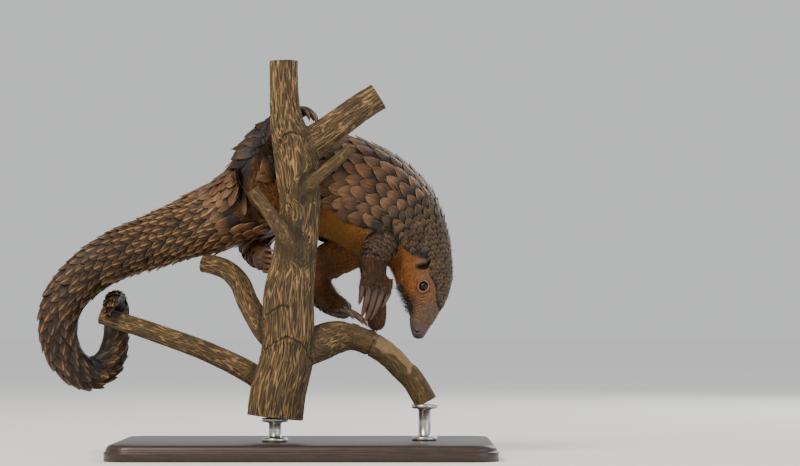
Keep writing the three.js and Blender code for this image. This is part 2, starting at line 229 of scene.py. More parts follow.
@dataclass(frozen=True)
class KeratinScale(Finish):
    """Keratin scales, grown in layers: lengthwise grooves catch the light, thin worn edges look paler."""

    # root: painted shade under the scale before, with some dirt in the crease
    root: str = "#1a1009"
    horn: str = "#583c25"
    streak: str = "#7d5d3e"
    edge: str = "#a08056"
    warm: str = "#5f3717"
    worn: float = 0.5  # how pale the worn edge gets
    groove: float = 1.3  # mm; real grooves are about 0.7 mm apart, drawn wider so that they show
    keel: float = 0.0  # how pale the raised middle line gets: a painted highlight along the keel
    shade_and_dirt_reach: float = 0.8  # share of its length up to which the root colour is laid: painted shade where the scale before covers it, with some dirt in that crease
    shine: float = 0.3  # dust in the grooves takes most of the gloss away
    apart: ClassVar[float] = 91.0  # sets each scale's pattern off from the next one's
    mottled: ClassVar[float] = 3.5  # mm between mottles
    dusty: ClassVar[float] = 14  # mm between patches of dust
    marks: ClassVar[Sequence[str]] = ("across", "along", "edge", "tone")

    def fill(self, add: Callable, shader: bpy.types.Node, marks: Marks) -> None:
        """Add streaks and grooves along each scale, a root darkened by painted shade with some dirt, pale
        worn edges, and a keel made pale by a painted highlight.
        """
        across, along, edge, tone = marks.values()
        place = add("TexCoord", out="Object")
        row = add("Math", (tone, self.apart), operation="MULTIPLY")
        lane, far = (add("Math", (mark, scale), operation="MULTIPLY")
                     for mark, scale in ((across, 1 / self.groove), (along, 1.6)))
        lengthwise = add("CombineXYZ", (lane, far, row))
        grooves = add("TexNoise", {"Vector": lengthwise, "Scale": 1.0, "Detail": 3.0})
        ripple = add("CombineXYZ", (row, edge, along))
        layers = add("TexNoise", {"Vector": ripple, "Scale": 7.0, "Detail": 1.0})
        mottle, dust = (
            add("TexNoise", {"Vector": place, "Scale": 1 / (size * MM), "Detail": detail, "Roughness": 0.6})
            for size, detail in ((self.mottled, 4.0), (self.dusty, 3.0)))
        worn = add("Math", (edge, add("MapRange", (mottle, 0.25, 0.7, -0.35, 0.3))))
        # Painted highlight: a pale line along the keel, towards the scale's tip
        off_keel = add("Math", (across,), operation="ABSOLUTE")
        keel = add("Math", (add("MapRange", (off_keel, 0.2, 0.9, self.keel, 0.0)),
                            add("MapRange", (along, 0.4, 0.75))), operation="MULTIPLY")
        # The last coat lays the root colour: painted shade where the scale before covers this one, with some
        # dirt
        coats = ((add("MapRange", (grooves, 0.36, 0.66)), self.streak),
                 (add("MapRange", (mottle, 0.42, 0.75, 0.0, 0.7)), self.warm), (keel, self.edge),
                 (add("MapRange", (worn, 0.4, 0.95, 0.0, self.worn)), self.edge),
                 (add("MapRange", (along, self.shade_and_dirt_reach, self.shade_and_dirt_reach - 0.35)), self.root))
        # The tone factor holds each scale's random tone and the painted shade down the tail
        lights = (add("MapRange", (dust, 0.35, 0.7, 0.8, 1.16)),
                  add("MapRange", (tone, -1.0, 1.0, 0.14, 1.22)))
        under = add("Bump", {"Height": layers, "Distance": 0.2 * MM, "Strength": 0.6})
        bump = add("Bump", {"Height": grooves, "Distance": 0.42 * MM, "Normal": under})
        rough = add("MapRange", (grooves, 0.3, 0.7, 0.58, 0.42))
        wire(shader, {"Base Color": self.paint(add, self.horn, coats, lights), "Roughness": rough,
                      "IOR": 1.54, "Normal": bump, "Specular IOR Level": self.shine})


@dataclass(frozen=True)
class Hair(Finish):
    """Coarse hair in locks: dark at the skin, paler and a little shiny towards the tips."""

    root: str = "#331a08"
    shaft: str = "#99601f"
    tip: str = "#d39c4c"
    marks: ClassVar[Sequence[str]] = ("tip", "tone")

    def fill(self, add: Callable, shader: bpy.types.Node, marks: Marks) -> None:
        """Add a run of colour from root to tip, varied from lock to lock."""
        tip, tone = marks.values()
        coats = (add("MapRange", (tip, 0.0, 0.5)), self.shaft), (add("MapRange", (tip, 0.4, 1.0)), self.tip)
        # The tone carries the painted shade towards the groin and on the legs
        colour = self.paint(add, self.root, coats, [add("MapRange", (tone, -0.5, 1.0, 0.12, 1.3))])
        wire(shader, {"Base Color": colour, "Roughness": 0.55, "IOR": 1.55})


@dataclass(frozen=True)
class BareSkin(Finish):
    """Thin creased skin: matt and mottled, reddish round the eye, grey and damp on the nose, with painted
    shade in its hollows.
    """

    face: str = "#5a4431"
    flush: str = "#754323"
    nose: str = "#4c3b3d"
    chin: str = "#3e2f25"
    paw: str = "#402b1e"
    lid: str = "#a08068"
    # hollow: painted shade in the eye's socket and first crease, the ear hole, the nostrils and the mouth
    hollow: str = "#0e0806"
    under_scales: str = "#170f0a"
    fur_dark: str = "#42260c"
    fur_light: str = "#965e1f"
    strand: float = 0.9  # mm; hair is about 0.1 mm thick, drawn as strands this wide
    marks: ClassVar[Sequence[str]] = ("flush", "chin", "paw", "nose", "furred", "scaled", "lid",
                                      "hollow", "lane", "run", "dark")

    def fill(self, add: Callable, shader: bpy.types.Node, marks: Marks) -> None:
        """Add the colours of each zone kept on the mesh, mottling, fine creases and short fur, with painted
        shade in the hollows and on the fur towards the groin and on the legs.
        """
        place = add("TexCoord", out="Object")
        mottle = add("TexNoise", {"Vector": place, "Scale": 1 / (3.2 * MM), "Detail": 5.0, "Roughness": 0.6})
        lane = add("Math", (marks["lane"], 1 / self.strand), operation="MULTIPLY")
        run = add("Math", (marks["run"], 0.2), operation="MULTIPLY")
        strands = add("TexNoise", {"Vector": add("CombineXYZ", (lane, run)), "Scale": 1.0, "Detail": 3.0,
                                   "Distortion": 0.4})
        # The dark mark darkens the short fur as painted shade, towards the groin and on the legs
        fur = self.paint(add, self.fur_dark, [(add("MapRange", (strands, 0.36, 0.66)), self.fur_light)],
                         [add("MapRange", (marks["dark"], 0.0, 1.0, 1.0, 0.3))])
        patchy = add("MapRange", (mottle, 0.3, 0.6, 0.4, 1.0))
        flush = add("Math", (marks["flush"], patchy), operation="MULTIPLY")
        coats = ((flush, self.flush), (marks["chin"], self.chin), (marks["paw"], self.paw),
                 (marks["nose"], self.nose), (marks["furred"], fur), (marks["scaled"], self.under_scales),
                 (marks["lid"], self.lid))
        colour = self.paint(add, self.face, coats, [add("MapRange", (mottle, 0.3, 0.7, 0.68, 1.22))])
        # Painted shade in the hollows
        colour = self.paint(add, colour, [(marks["hollow"], self.hollow)])
        cells = add("TexVoronoi", {"Vector": place, "Scale": 1 / (1.5 * MM)})
        tufts = add("Math", (strands, marks["furred"]), operation="MULTIPLY")
        bump = add("Bump", {"Height": cells, "Distance": 0.16 * MM, "Strength": 0.6})
        for height, deep, power in ((mottle, 0.3, 0.6), (tufts, 0.9, 1.0)):
            bump = add("Bump", {"Height": height, "Distance": deep * MM, "Strength": power, "Normal": bump})
        damp = add("MapRange", (marks["nose"], 0.0, 1.0, 0.62, 0.42))
        wire(shader, {"Base Color": colour, "Roughness": damp, "IOR": 1.4, "Normal": bump})


@dataclass(frozen=True)
class WetEye(Finish):
    """A live eyeball: a near-black iris under a clear wet cornea that holds one sharp highlight."""

    pupil: str = "#030202"
    iris: str = "#180d08"
    white: str = "#241812"
    marks: ClassVar[Sequence[str]] = ("rim",)

    def fill(self, add: Callable, shader: bpy.types.Node, marks: Marks) -> None:
        """Add pupil, iris and a dark white, wet and smooth."""
        coats = [(add("MapRange", (marks["rim"], start, end)), over)
                 for start, end, over in ((0.36, 0.46, self.iris), (0.8, 0.95, self.white))]
        wire(shader, {"Base Color": self.paint(add, self.pupil, coats), "Roughness": 0.05, "IOR": 1.38})


@dataclass(frozen=True)
class ClawHorn(Finish):
    """Claw horn, rubbed smooth on wood: brown and ribbed, paler and thinner at the point."""

    base: str = "#2f1d11"
    horn: str = "#60442f"
    point: str = "#876851"
    marks: ClassVar[Sequence[str]] = ("across", "along", "tone", "painted_ridge_light")

    def fill(self, add: Callable, shader: bpy.types.Node, marks: Marks) -> None:
        """Add ribs along the claw, a darker root, a painted highlight along its back with painted shade on
        its sides and underside, and a paler point.
        """
        across, along, tone, painted_ridge_light = marks.values()
        lane = add("Math", (across, 0.9), operation="MULTIPLY")
        lengthwise = add("CombineXYZ", (lane, along, tone))
        ribs = add("TexNoise", {"Vector": lengthwise, "Scale": 1.0, "Detail": 2.0})
        coats = ((add("MapRange", (ribs, 0.35, 0.7)), self.horn),
                 (add("MapRange", (along, 0.6, 1.0, 0.0, 0.8)), self.point))
        # Darker towards the root; a painted highlight along the back and painted shade on the sides and
        # underside
        lights = (add("MapRange", (along, 0.1, 0.4, 0.6, 1.0)), add("MapRange", (painted_ridge_light, 0.0, 1.0, 0.4, 1.1)))
        colour = self.paint(add, self.base, coats, lights)
        bump = add("Bump", {"Height": ribs, "Distance": 0.3 * MM, "Strength": 0.8})
        wire(shader, {"Base Color": colour, "Roughness": 0.42, "IOR": 1.54, "Normal": bump})


@dataclass(frozen=True)
class Bark(Finish):
    """Rough live bark: thin tan ridges that meet and part over grey-brown, pale wood where torn or sawn; the
    ridges' paleness is partly a painted highlight and the dark beside them partly painted shade.
    """

    fissure_and_shade: str = "#1a1007"
    plate: str = "#4a3a24"
    crest_and_highlight: str = "#ad8b5b"
    moss: str = "#383419"
    young: str = "#4d3d1f"
    callus: str = "#3b322b"
    wood_dark: str = "#59452f"
    wood_light: str = "#8b7353"
    sawn: str = "#b9996b"
    ring: str = "#8a6840"
    meshes: tuple[float, float] = (3.0, 1.9)  # mm; real ridges are about 1 mm apart, drawn wider to show
    ring_gap: float = 2.2  # mm; year rings of a small tree are about 1 mm apart, drawn wider to show
    marks: ClassVar[Sequence[str]] = ("wrap_x", "wrap_y", "wrap_z", "height", "young", "callus", "bare",
                                      "cut", "crack", "ring")

    def fill(self, add: Callable, shader: bpy.types.Node, marks: Marks) -> None:
        """Add a net of ridges drawn out along the wood, algae in patches, the two bare woods, and painted
        light and shade on the ridges, beside them, low between them and in the cracks.
        """
        place = add("CombineXYZ", (marks["wrap_x"], marks["wrap_y"], marks["wrap_z"]))
        sway = add("TexNoise", {"Vector": place, "Scale": 0.22, "Detail": 2.0}, "Color")
        swayed = add("VectorMath", (sway, (4.5, 4.5, 0.0), place), operation="MULTIPLY_ADD")
        lumps = add("TexNoise", {"Vector": place, "Scale": 0.3, "Detail": 2.0})
        grain = add("TexNoise", {"Vector": place, "Scale": 1.3, "Detail": 4.0, "Roughness": 0.65})
        nets = [add("TexVoronoi", {"Vector": swayed, "Scale": 1 / size}, feature="DISTANCE_TO_EDGE")
                for size in self.meshes]
        # The ridges are pale partly of themselves and partly as a painted highlight
        crests = add("Math", (add("MapRange", (nets[0], 0.02, 0.11, 1.0, 0.0)),
                              add("MapRange", (nets[1], 0.0, 0.1, 0.5, 0.0))), operation="MAXIMUM")
        bold = add("Math", (add("MapRange", (lumps, 0.3, 0.6, 0.35, 1.0)),
                            add("MapRange", (marks["young"], 0.0, 1.0, 1.0, 0.12))), operation="MULTIPLY")
        crests = add("Math", (crests, bold), operation="MULTIPLY")
        # The dark band beside each ridge is partly fissure and partly painted shade
        beside = add("Math", (add("MapRange", (nets[0], 0.36, 0.14, 0.0, 0.85)), bold), operation="MULTIPLY")
        patches = add("MapRange", (add("TexNoise", {"Vector": place, "Scale": 0.05}), 0.5, 0.66, 0.0, 0.6))
        wood = self.paint(add, self.wood_dark, [(add("MapRange", (grain, 0.3, 0.7)), self.wood_light)])
        rings = add("Math", (marks["ring"], 2 * math.pi / self.ring_gap), operation="MULTIPLY")
        waves = add("MapRange", (add("Math", (rings,), operation="SINE"), -0.6, 1.0))
        end = self.paint(add, self.sawn, [(waves, self.ring)])
        coats = ((patches, self.moss), (marks["young"], self.young), (beside, self.fissure_and_shade),
                 (crests, self.crest_and_highlight), (marks["callus"], self.callus))
        # The second factor is painted shade: the bark is darker where it lies low between the ridges
        lights = (add("MapRange", (grain, 0.3, 0.7, 0.62, 1.25)),
                  add("MapRange", (marks["height"], 0.0, 0.8, 0.62, 1.08)))
        colour = self.paint(add, self.plate, coats, lights)
        # Painted shade in the cracks
        crack_shade = add("MapRange", (marks["crack"], 0.0, 1.0, 1.0, 0.16))
        colour = self.paint(add, colour, ((marks["bare"], wood), (marks["cut"], end)), [crack_shade])
        barked = add("MapRange", (add("Math", (marks["bare"], marks["cut"]), operation="MAXIMUM"), 0.0, 1.0,
                                  1.0, 0.0))
        raised = add("Math", (crests, barked), operation="MULTIPLY")
        under = add("Bump", {"Height": grain, "Distance": 0.3 * MM, "Strength": 0.7})
        bump = add("Bump", {"Height": raised, "Distance": 0.9 * MM, "Normal": under})
        wire(shader, {"Base Color": colour, "Roughness": 0.86, "Normal": bump})


@dataclass(frozen=True)
class StainedBoard(Finish):
    """Close-grained hardwood board, stained dark and lacquered: satin, the grain just showing."""

    dark: str = "#17100c"
    light: str = "#3a281c"
    grain: float = 1.1  # mm between fibres, which are finer on real wood and drawn wider to show

    def fill(self, add: Callable, shader: bpy.types.Node, marks: Marks) -> None:
        """Add grain drawn out along the board under a thin clear coat."""
        drawn = add("Mapping", {"Vector": add("TexCoord", out="Object"), "Scale": (0.045, 1.0, 1.0)})
        fibres = add("TexNoise", {"Vector": drawn, "Scale": 1 / (self.grain * MM), "Detail": 4.0,
                                  "Distortion": 0.3})
        colour = self.paint(add, self.dark, [(add("MapRange", (fibres, 0.3, 0.72)), self.light)])
        bump = add("Bump", {"Height": fibres, "Distance": 0.08 * MM, "Strength": 0.5})
        rough = add("MapRange", (fibres, 0.3, 0.7, 0.34, 0.48))
        wire(shader, {"Base Color": colour, "Roughness": rough, "Normal": bump, "Coat Weight": 0.25,
                      "Coat Roughness": 0.3})


@dataclass(frozen=True)
class TurnedSteel(Finish):
    """Steel rod turned on a lathe: bright, with fine rings that spread the highlight."""

    colour: str = "#b7b6b2"
    pitch: float = 0.6  # mm between tool rings; real ones are about 0.2 mm apart, drawn wider to show

    def fill(self, add: Callable, shader: bpy.types.Node, marks: Marks) -> None:
        """Add tool rings up the rod, as bump and as roughness."""
        drawn = add("Mapping", {"Vector": add("TexCoord", out="Object"), "Scale": (0.02, 0.02, 1.0)})
        rings = add("TexNoise", {"Vector": drawn, "Scale": 1 / (self.pitch * MM)})
        bump = add("Bump", {"Height": rings, "Distance": 0.03 * MM, "Strength": 0.5})
        rough = add("MapRange", (rings, 0.3, 0.7, 0.22, 0.38))
        wire(shader, {"Base Color": self.colour, "Metallic": 1.0, "Roughness": rough, "Normal": bump})


@dataclass(frozen=True)
class StudioPaper(Finish):
    """Matt pale floor of a photo studio."""

    colour: str = "#fbfaf8"

    def fill(self, add: Callable, shader: bpy.types.Node, marks: Marks) -> None:
        """Set one flat colour: this isn't part of the object."""
        wire(shader, {"Base Color": self.colour, "Roughness": 0.95})


BODY_SCALES = KeratinScale("keratin scales of the back")
# The tail's scales carry a painted highlight along the keel
TAIL_SCALES = KeratinScale("keratin scales of the tail", "#140b05", "#3c2611", "#5a3f24", "#a37f52",
                           "#4a2b14", 0.3, 1.25, 0.9)
HEAD_SCALES = KeratinScale("keratin scales of head and neck", "#0f0a05", "#3a2b1a", "#543f28", "#7b6545",
                           "#3d2813", 0.65, 1.0, shade_and_dirt_reach=0.72)
LEG_SCALES = KeratinScale("keratin scales of the legs", "#0f0904", "#2e1f13", "#463220", "#755a3a",
                          "#3f2511", 0.4, 1.0)
BELLY_HAIR = Hair("belly hair")
CHEEK_HAIR = Hair("cheek hair", "#3e200c", "#965420", "#c98640")
# A darker copy of the belly hair for the legs: painted shade
LEG_HAIR_IN_PAINTED_SHADE = Hair("leg hair in painted shade", "#170d06", "#44260f", "#7a5128")
BRISTLES = Hair("pale bristles", "#5a4632", "#a08a6c", "#d8c9ad")
CHIN_BRISTLES = Hair("dark chin bristles", "#0f0b09", "#261b15", "#4b3b2f")
SKIN = BareSkin("creased skin")
EYE = WetEye("wet eye")
CLAW = ClawHorn("claw horn")
BARK = Bark("fissured bark")
BOARD = StainedBoard("stained hardwood")
STEEL = TurnedSteel("turned steel")
PAPER = StudioPaper("studio paper")


# Meshes


@dataclass
class Piece:
    """A mesh in the making: points in millimetres, faces, values on the points and a map."""

    name: str
    points: Array
    faces: list
    values: dict[str, Array] = field(default_factory=dict)
    chart: Array | None = None

    def place(self, finish: Finish, slot: str, nodes: Sequence[str] = ()) -> None:
        """Make the Blender object, dress it, hang it under the body's root and hide the CAD parts it stands
        for.

        Args:
            finish: Its material.
            slot: The record's material slot; not used.
            nodes: The CAD nodes it stands for.
        """
        mesh = bpy.data.meshes.new(self.name)
        mesh.from_pydata((self.points * MM).tolist(), [], self.faces)
        mesh.polygons.foreach_set("use_smooth", [True] * len(mesh.polygons))
        for name, values in self.values.items():
            layer = mesh.attributes.new(name, "FLOAT", "POINT")
            layer.data.foreach_set("value", np.asarray(values, dtype=np.float32))
        if self.chart is not None:
            corners = np.empty(len(mesh.loops), dtype=np.int32)
            mesh.loops.foreach_get("vertex_index", corners)
            layer = mesh.uv_layers.new(name="OFBake")
            layer.data.foreach_set("uv", self.chart[corners].astype(np.float32).ravel())
        mesh.update()
        mesh.materials.append(finish.material())
        piece = bpy.data.objects.new(self.name, mesh)
        bpy.context.scene.collection.objects.link(piece)
        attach(piece, "root")
        if nodes:
            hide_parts(*nodes)
        triangles = sum(len(p.vertices) - 2 for p in mesh.polygons)
        LOG.info("%s: %d triangles", self.name, triangles)


def grid_faces(rows: int, columns: int, wrap: bool = True) -> Array:
    """Return the quads of a grid of points stored row by row.

    Args:
        rows: Number of rows of points.
        columns: Number of points in a row.
        wrap: Whether each row closes on itself.

    Returns:
        One quad a row, as point numbers.
    """
    i = np.arange(rows - 1)[:, None] * columns
    j = np.arange(columns if wrap else columns - 1)[None]
    after = (j + 1) % columns
    return np.stack([i + j, i + after, i + columns + after, i + columns + j], axis=-1).reshape(-1, 4)


def tube_faces(rings: int, sides: int) -> list[list[int]]:
    """Return the faces of a closed tube: its rings of points joined, with a flat end each way."""
    last = rings * sides
    return [*grid_faces(rings, sides).tolist(), list(range(sides))[::-1], list(range(last - sides, last))]


def repeat_faces(faces: Sequence[Sequence[int]], step: int, count: int) -> list[list[int]]:
    """Return one scale's or lock's faces for all of them, whose points follow on step by step."""
    offset = step * np.arange(count)[:, None]
    return [row for face in faces for row in (np.array(face) + offset).tolist()]


def lay(lie: Array, normal: Array, turn: Array) -> tuple[Array, Array]:
    """Return directions laid flat on the skin and then turned on it, and those across them."""
    lie = unit(lie - normal * dot(lie, normal)[:, None])
    side = np.cross(normal, lie)
    return lie * np.cos(turn) + side * np.sin(turn), side * np.cos(turn) - lie * np.sin(turn)


def turns(sides: int) -> Array:
    """Return the angles of a ring's points."""
    return np.linspace(0, 2 * math.pi, sides, endpoint=False)


def join(parts: Sequence[tuple[Array, list]]) -> tuple[Array, list]:
    """Return several meshes as one, with the faces renumbered."""
    points, faces, start = [], [], 0
    for some, theirs in parts:
        points.append(some)
        faces += [[corner + start for corner in face] for face in theirs]
        start += len(some)
    return np.concatenate(points), faces


def remesh(points: Array, faces: list, voxel: float) -> bpy.types.Mesh:
    """Return the outer skin of overlapping closed meshes, as one even mesh in millimetres."""
    mesh = bpy.data.meshes.new("rough")
    mesh.from_pydata(points.tolist(), [], faces)
    rough = bpy.data.objects.new("rough", mesh)
    bpy.context.scene.collection.objects.link(rough)
    fuse = rough.modifiers.new("fuse", "REMESH")
    fuse.mode = "VOXEL"
    fuse.voxel_size = voxel
    shell = bpy.data.meshes.new_from_object(rough.evaluated_get(bpy.context.evaluated_depsgraph_get()))
    bpy.data.objects.remove(rough)
    bpy.data.meshes.remove(mesh)
    return shell


def read_all(items: Sequence, name: str, kind: type = np.int32) -> Array:
    """Return an attribute of all of a mesh's points, edges or triangles, one a row."""
    width = len(getattr(items[0], name))
    flat = np.empty(len(items) * width, dtype=kind)
    items.foreach_get(name, flat)
    return flat.reshape(-1, width)


def triangles_of(mesh: bpy.types.Mesh) -> Array:
    """Return a mesh's faces cut into triangles."""
    mesh.calc_loop_triangles()
    return read_all(mesh.loop_triangles, "vertices")


def relax(points: Array, edges: Array, rounds: int, strength: Array) -> Array:
    """Return the points moved towards the middle of their neighbours, again and again.

    Args:
        points: The mesh's points.
        edges: Its edges.
        rounds: How many times.
        strength: Share of the way that each point moves in a round.

    Returns:
        The new points.
    """
    a, b = edges.T
    count = np.bincount(a, minlength=len(points)) + np.bincount(b, minlength=len(points))
    share = (np.broadcast_to(strength, len(points)) / np.maximum(count, 1))[:, None]
    for _ in range(rounds):
        total = np.stack([np.bincount(a, line[b], len(points)) + np.bincount(b, line[a], len(points))
                          for line in points.T], axis=1)
        points = points + share * (total - points * count[:, None])
    return points


def point_normals(points: Array, triangles: Array) -> Array:
    """Return the outward direction at each point of a closed mesh."""
    a, b, c = points[triangles.T]
    faces = np.cross(b - a, c - a)
    total = [sum(np.bincount(corners, line, len(points)) for corners in triangles.T) for line in faces.T]
    return unit(np.stack(total, axis=1))


class Sweep:
    """A swelling, rolling tube along a smooth line, with its frame at any distance along it."""

    PER_SPAN: ClassVar[int] = 14

    def __init__(self, rows: Sequence[Row], start_up: Row) -> None:
        """Work out the line.

        Args:
            rows: x, y, z, half height, then half width and roll where they differ from it and from 0.
            start_up: Direction of angle 0 at the line's start, before any roll.
        """
        full = np.array([(*r, *(r[3], 0)[len(r) - 4:]) for r in rows], float)
        last = len(full) - 1
        place = np.arange(last * self.PER_SPAN + 1) / self.PER_SPAN
        first = np.clip(np.floor(place).astype(int), 0, last - 1)
        t = (place - first)[:, None]
        a, b, c, d = (full[np.clip(first + k, 0, last)] for k in (-1, 0, 1, 2))
        square, cube = 2 * a - 5 * b + 4 * c - d, 3 * b - a - 3 * c + d
        rows_at = 0.5 * (2 * b + (c - a) * t + square * t**2 + cube * t**3)
        self.at, self.tall, self.wide = rows_at[:, :3], rows_at[:, 3:4], rows_at[:, 4:5]
        self.roll = np.radians(rows_at[:, 5:6])
        steps = np.linalg.norm(np.diff(self.at, axis=0), axis=1)
        self.along = np.concatenate([[0], np.cumsum(steps)])
        self.length = float(self.along[-1])
        before, after = np.vstack([self.at[:1], self.at[:-1]]), np.vstack([self.at[1:], self.at[-1:]])
        self.ahead = unit(after - before)
        side, ups = np.array(start_up, float), []
        for ahead in self.ahead:
            side = unit(side - ahead * side.dot(ahead))
            ups.append(side)
        self.level = np.array(ups)

    def frame(self, along: Array) -> tuple[Array, ...]:
        """Return middle, direction, up, left, half height and half width at distances along the line."""
        along = np.clip(np.asarray(along, float), 0, self.length)
        i = np.clip(np.searchsorted(self.along, along), 1, len(self.along) - 1)
        t = ((along - self.along[i - 1]) / (self.along[i] - self.along[i - 1]))[..., None]
        at, tall, wide, roll, ahead, level = (mix(v[i - 1], v[i], t) for v in (
            self.at, self.tall, self.wide, self.roll, self.ahead, self.level))
        ahead = unit(ahead)
        level = unit(level - ahead * dot(ahead, level)[..., None])
        aside = np.cross(ahead, level)
        up = level * np.cos(roll) + aside * np.sin(roll)
        left = aside * np.cos(roll) - level * np.sin(roll)
        return at, ahead, up, left, tall, wide

    def point(self, along: Array, angle: Array, grow: Array = 0.0, size: Array = 1.0) -> Array:
        """Return points of the tube: angle 0 is the back, a quarter turn the animal's left side."""
        at, _, up, left, tall, wide = self.frame(along)
        angle, grow, size = (np.asarray(v, float)[..., None] for v in (angle, grow, size))
        return at + (up * (tall + grow) * np.cos(angle) + left * (wide + grow) * np.sin(angle)) * size

    def outward(self, along: Array, angle: Array) -> Array:
        """Return the directions straight out of the tube."""
        _, _, up, left, tall, wide = self.frame(along)
        angle = np.asarray(angle, float)[..., None]
        return unit(up * np.cos(angle) / tall + left * np.sin(angle) / wide)

    def lie(self, along: Array, angle: Array, lean: Array) -> Array:
        """Return the directions along the tube, leaned by an angle down its sides."""
        _, ahead, up, left, _, _ = self.frame(along)
        angle, lean = (np.asarray(v, float)[..., None] for v in (angle, lean))
        down = (left * np.cos(angle) - up * np.sin(angle)) * np.sign(angle)
        return ahead * np.cos(lean) + down * np.sin(lean)

    def girth_rate(self, along: Array, angle: Array) -> Array:
        """Return how far a point moves round the tube for each radian."""
        _, _, _, _, tall, wide = self.frame(along)
        return np.hypot(tall[..., 0] * np.sin(angle), wide[..., 0] * np.cos(angle))

    def locate(self, places: Array) -> tuple[Array, Array, Array]:
        """Return distance along, angle, and how far outside the tube each place is.

        Args:
            places: Points, one a row.

        Returns:
            Three arrays with one value for each point.
        """
        reach = (self.tall + self.wide)[:, 0] / 2
        nearest = np.empty(len(places), dtype=int)
        for block in np.array_split(np.arange(len(places)), len(places) // 6000 + 1):
            some = places[block]
            square = (some**2).sum(1)[:, None] + (self.at**2).sum(1)[None] - 2 * some @ self.at.T
            nearest[block] = (np.sqrt(np.maximum(square, 0)) - reach).argmin(1)
        along = self.along[nearest] + dot(places - self.at[nearest], self.ahead[nearest])
        beyond = np.maximum(-along, along - self.length)
        along = np.clip(along, 0, self.length)
        at, _, up, left, tall, wide = self.frame(along)
        gap = places - at
        high, low = dot(gap, up) / tall[:, 0], dot(gap, left) / wide[:, 0]
        angle = np.arctan2(low, high)
        radius = np.hypot(tall[:, 0] * np.cos(angle), wide[:, 0] * np.sin(angle))
        outside = (np.hypot(high, low) - 1) * radius
        return along, angle, np.maximum(outside, beyond)

    def loft(self, start: float, end: float, sides: int, step: float, grow: Callable | float,
             round_start: float = 0.0, round_end: float = 0.0) -> tuple[Array, list]:
        """Return a closed tube as points and faces.

        Args:
            start: Distance along the line where it starts.
            end: Distance where it ends.
            sides: Points in a ring.
            step: Distance between rings.
            grow: How far it stands off the tube, by distance along and angle.
            round_start: Length over which its start is rounded off.
            round_end: Length over which its end is rounded off.

        Returns:
            Points and faces.
        """
        rings = max(3, round((end - start) / step) + 1)
        along = np.linspace(start, end, rings)
        for edge, length, sign in ((start, round_start, 1), (end, round_end, -1)):
            if length:
                extra = edge + sign * length * (1 - np.cos(np.linspace(0.15, math.pi / 2, 6)))
                keep = np.abs(along - edge) > length
                along = np.sort(np.concatenate([along[keep], extra]))
        size = np.ones(len(along))
        for edge, length in ((start, round_start), (end, round_end)):
            if length:
                share = np.clip(1 - np.abs(along - edge) / length, 0, 1)
                size *= np.sqrt(np.maximum(1 - share**2, 0.004))
        a, t = np.meshgrid(along, turns(sides), indexing="ij")
        off = grow(a, t) if callable(grow) else np.full_like(a, grow)
        points = self.point(a, t, off, np.repeat(size[:, None], sides, 1)).reshape(-1, 3)
        return points, tube_faces(len(along), sides)


# The animal


class Side(Enum):
    """The two sides of the animal, as the sign of the angle from its back."""

    RIGHT = -1
    LEFT = 1


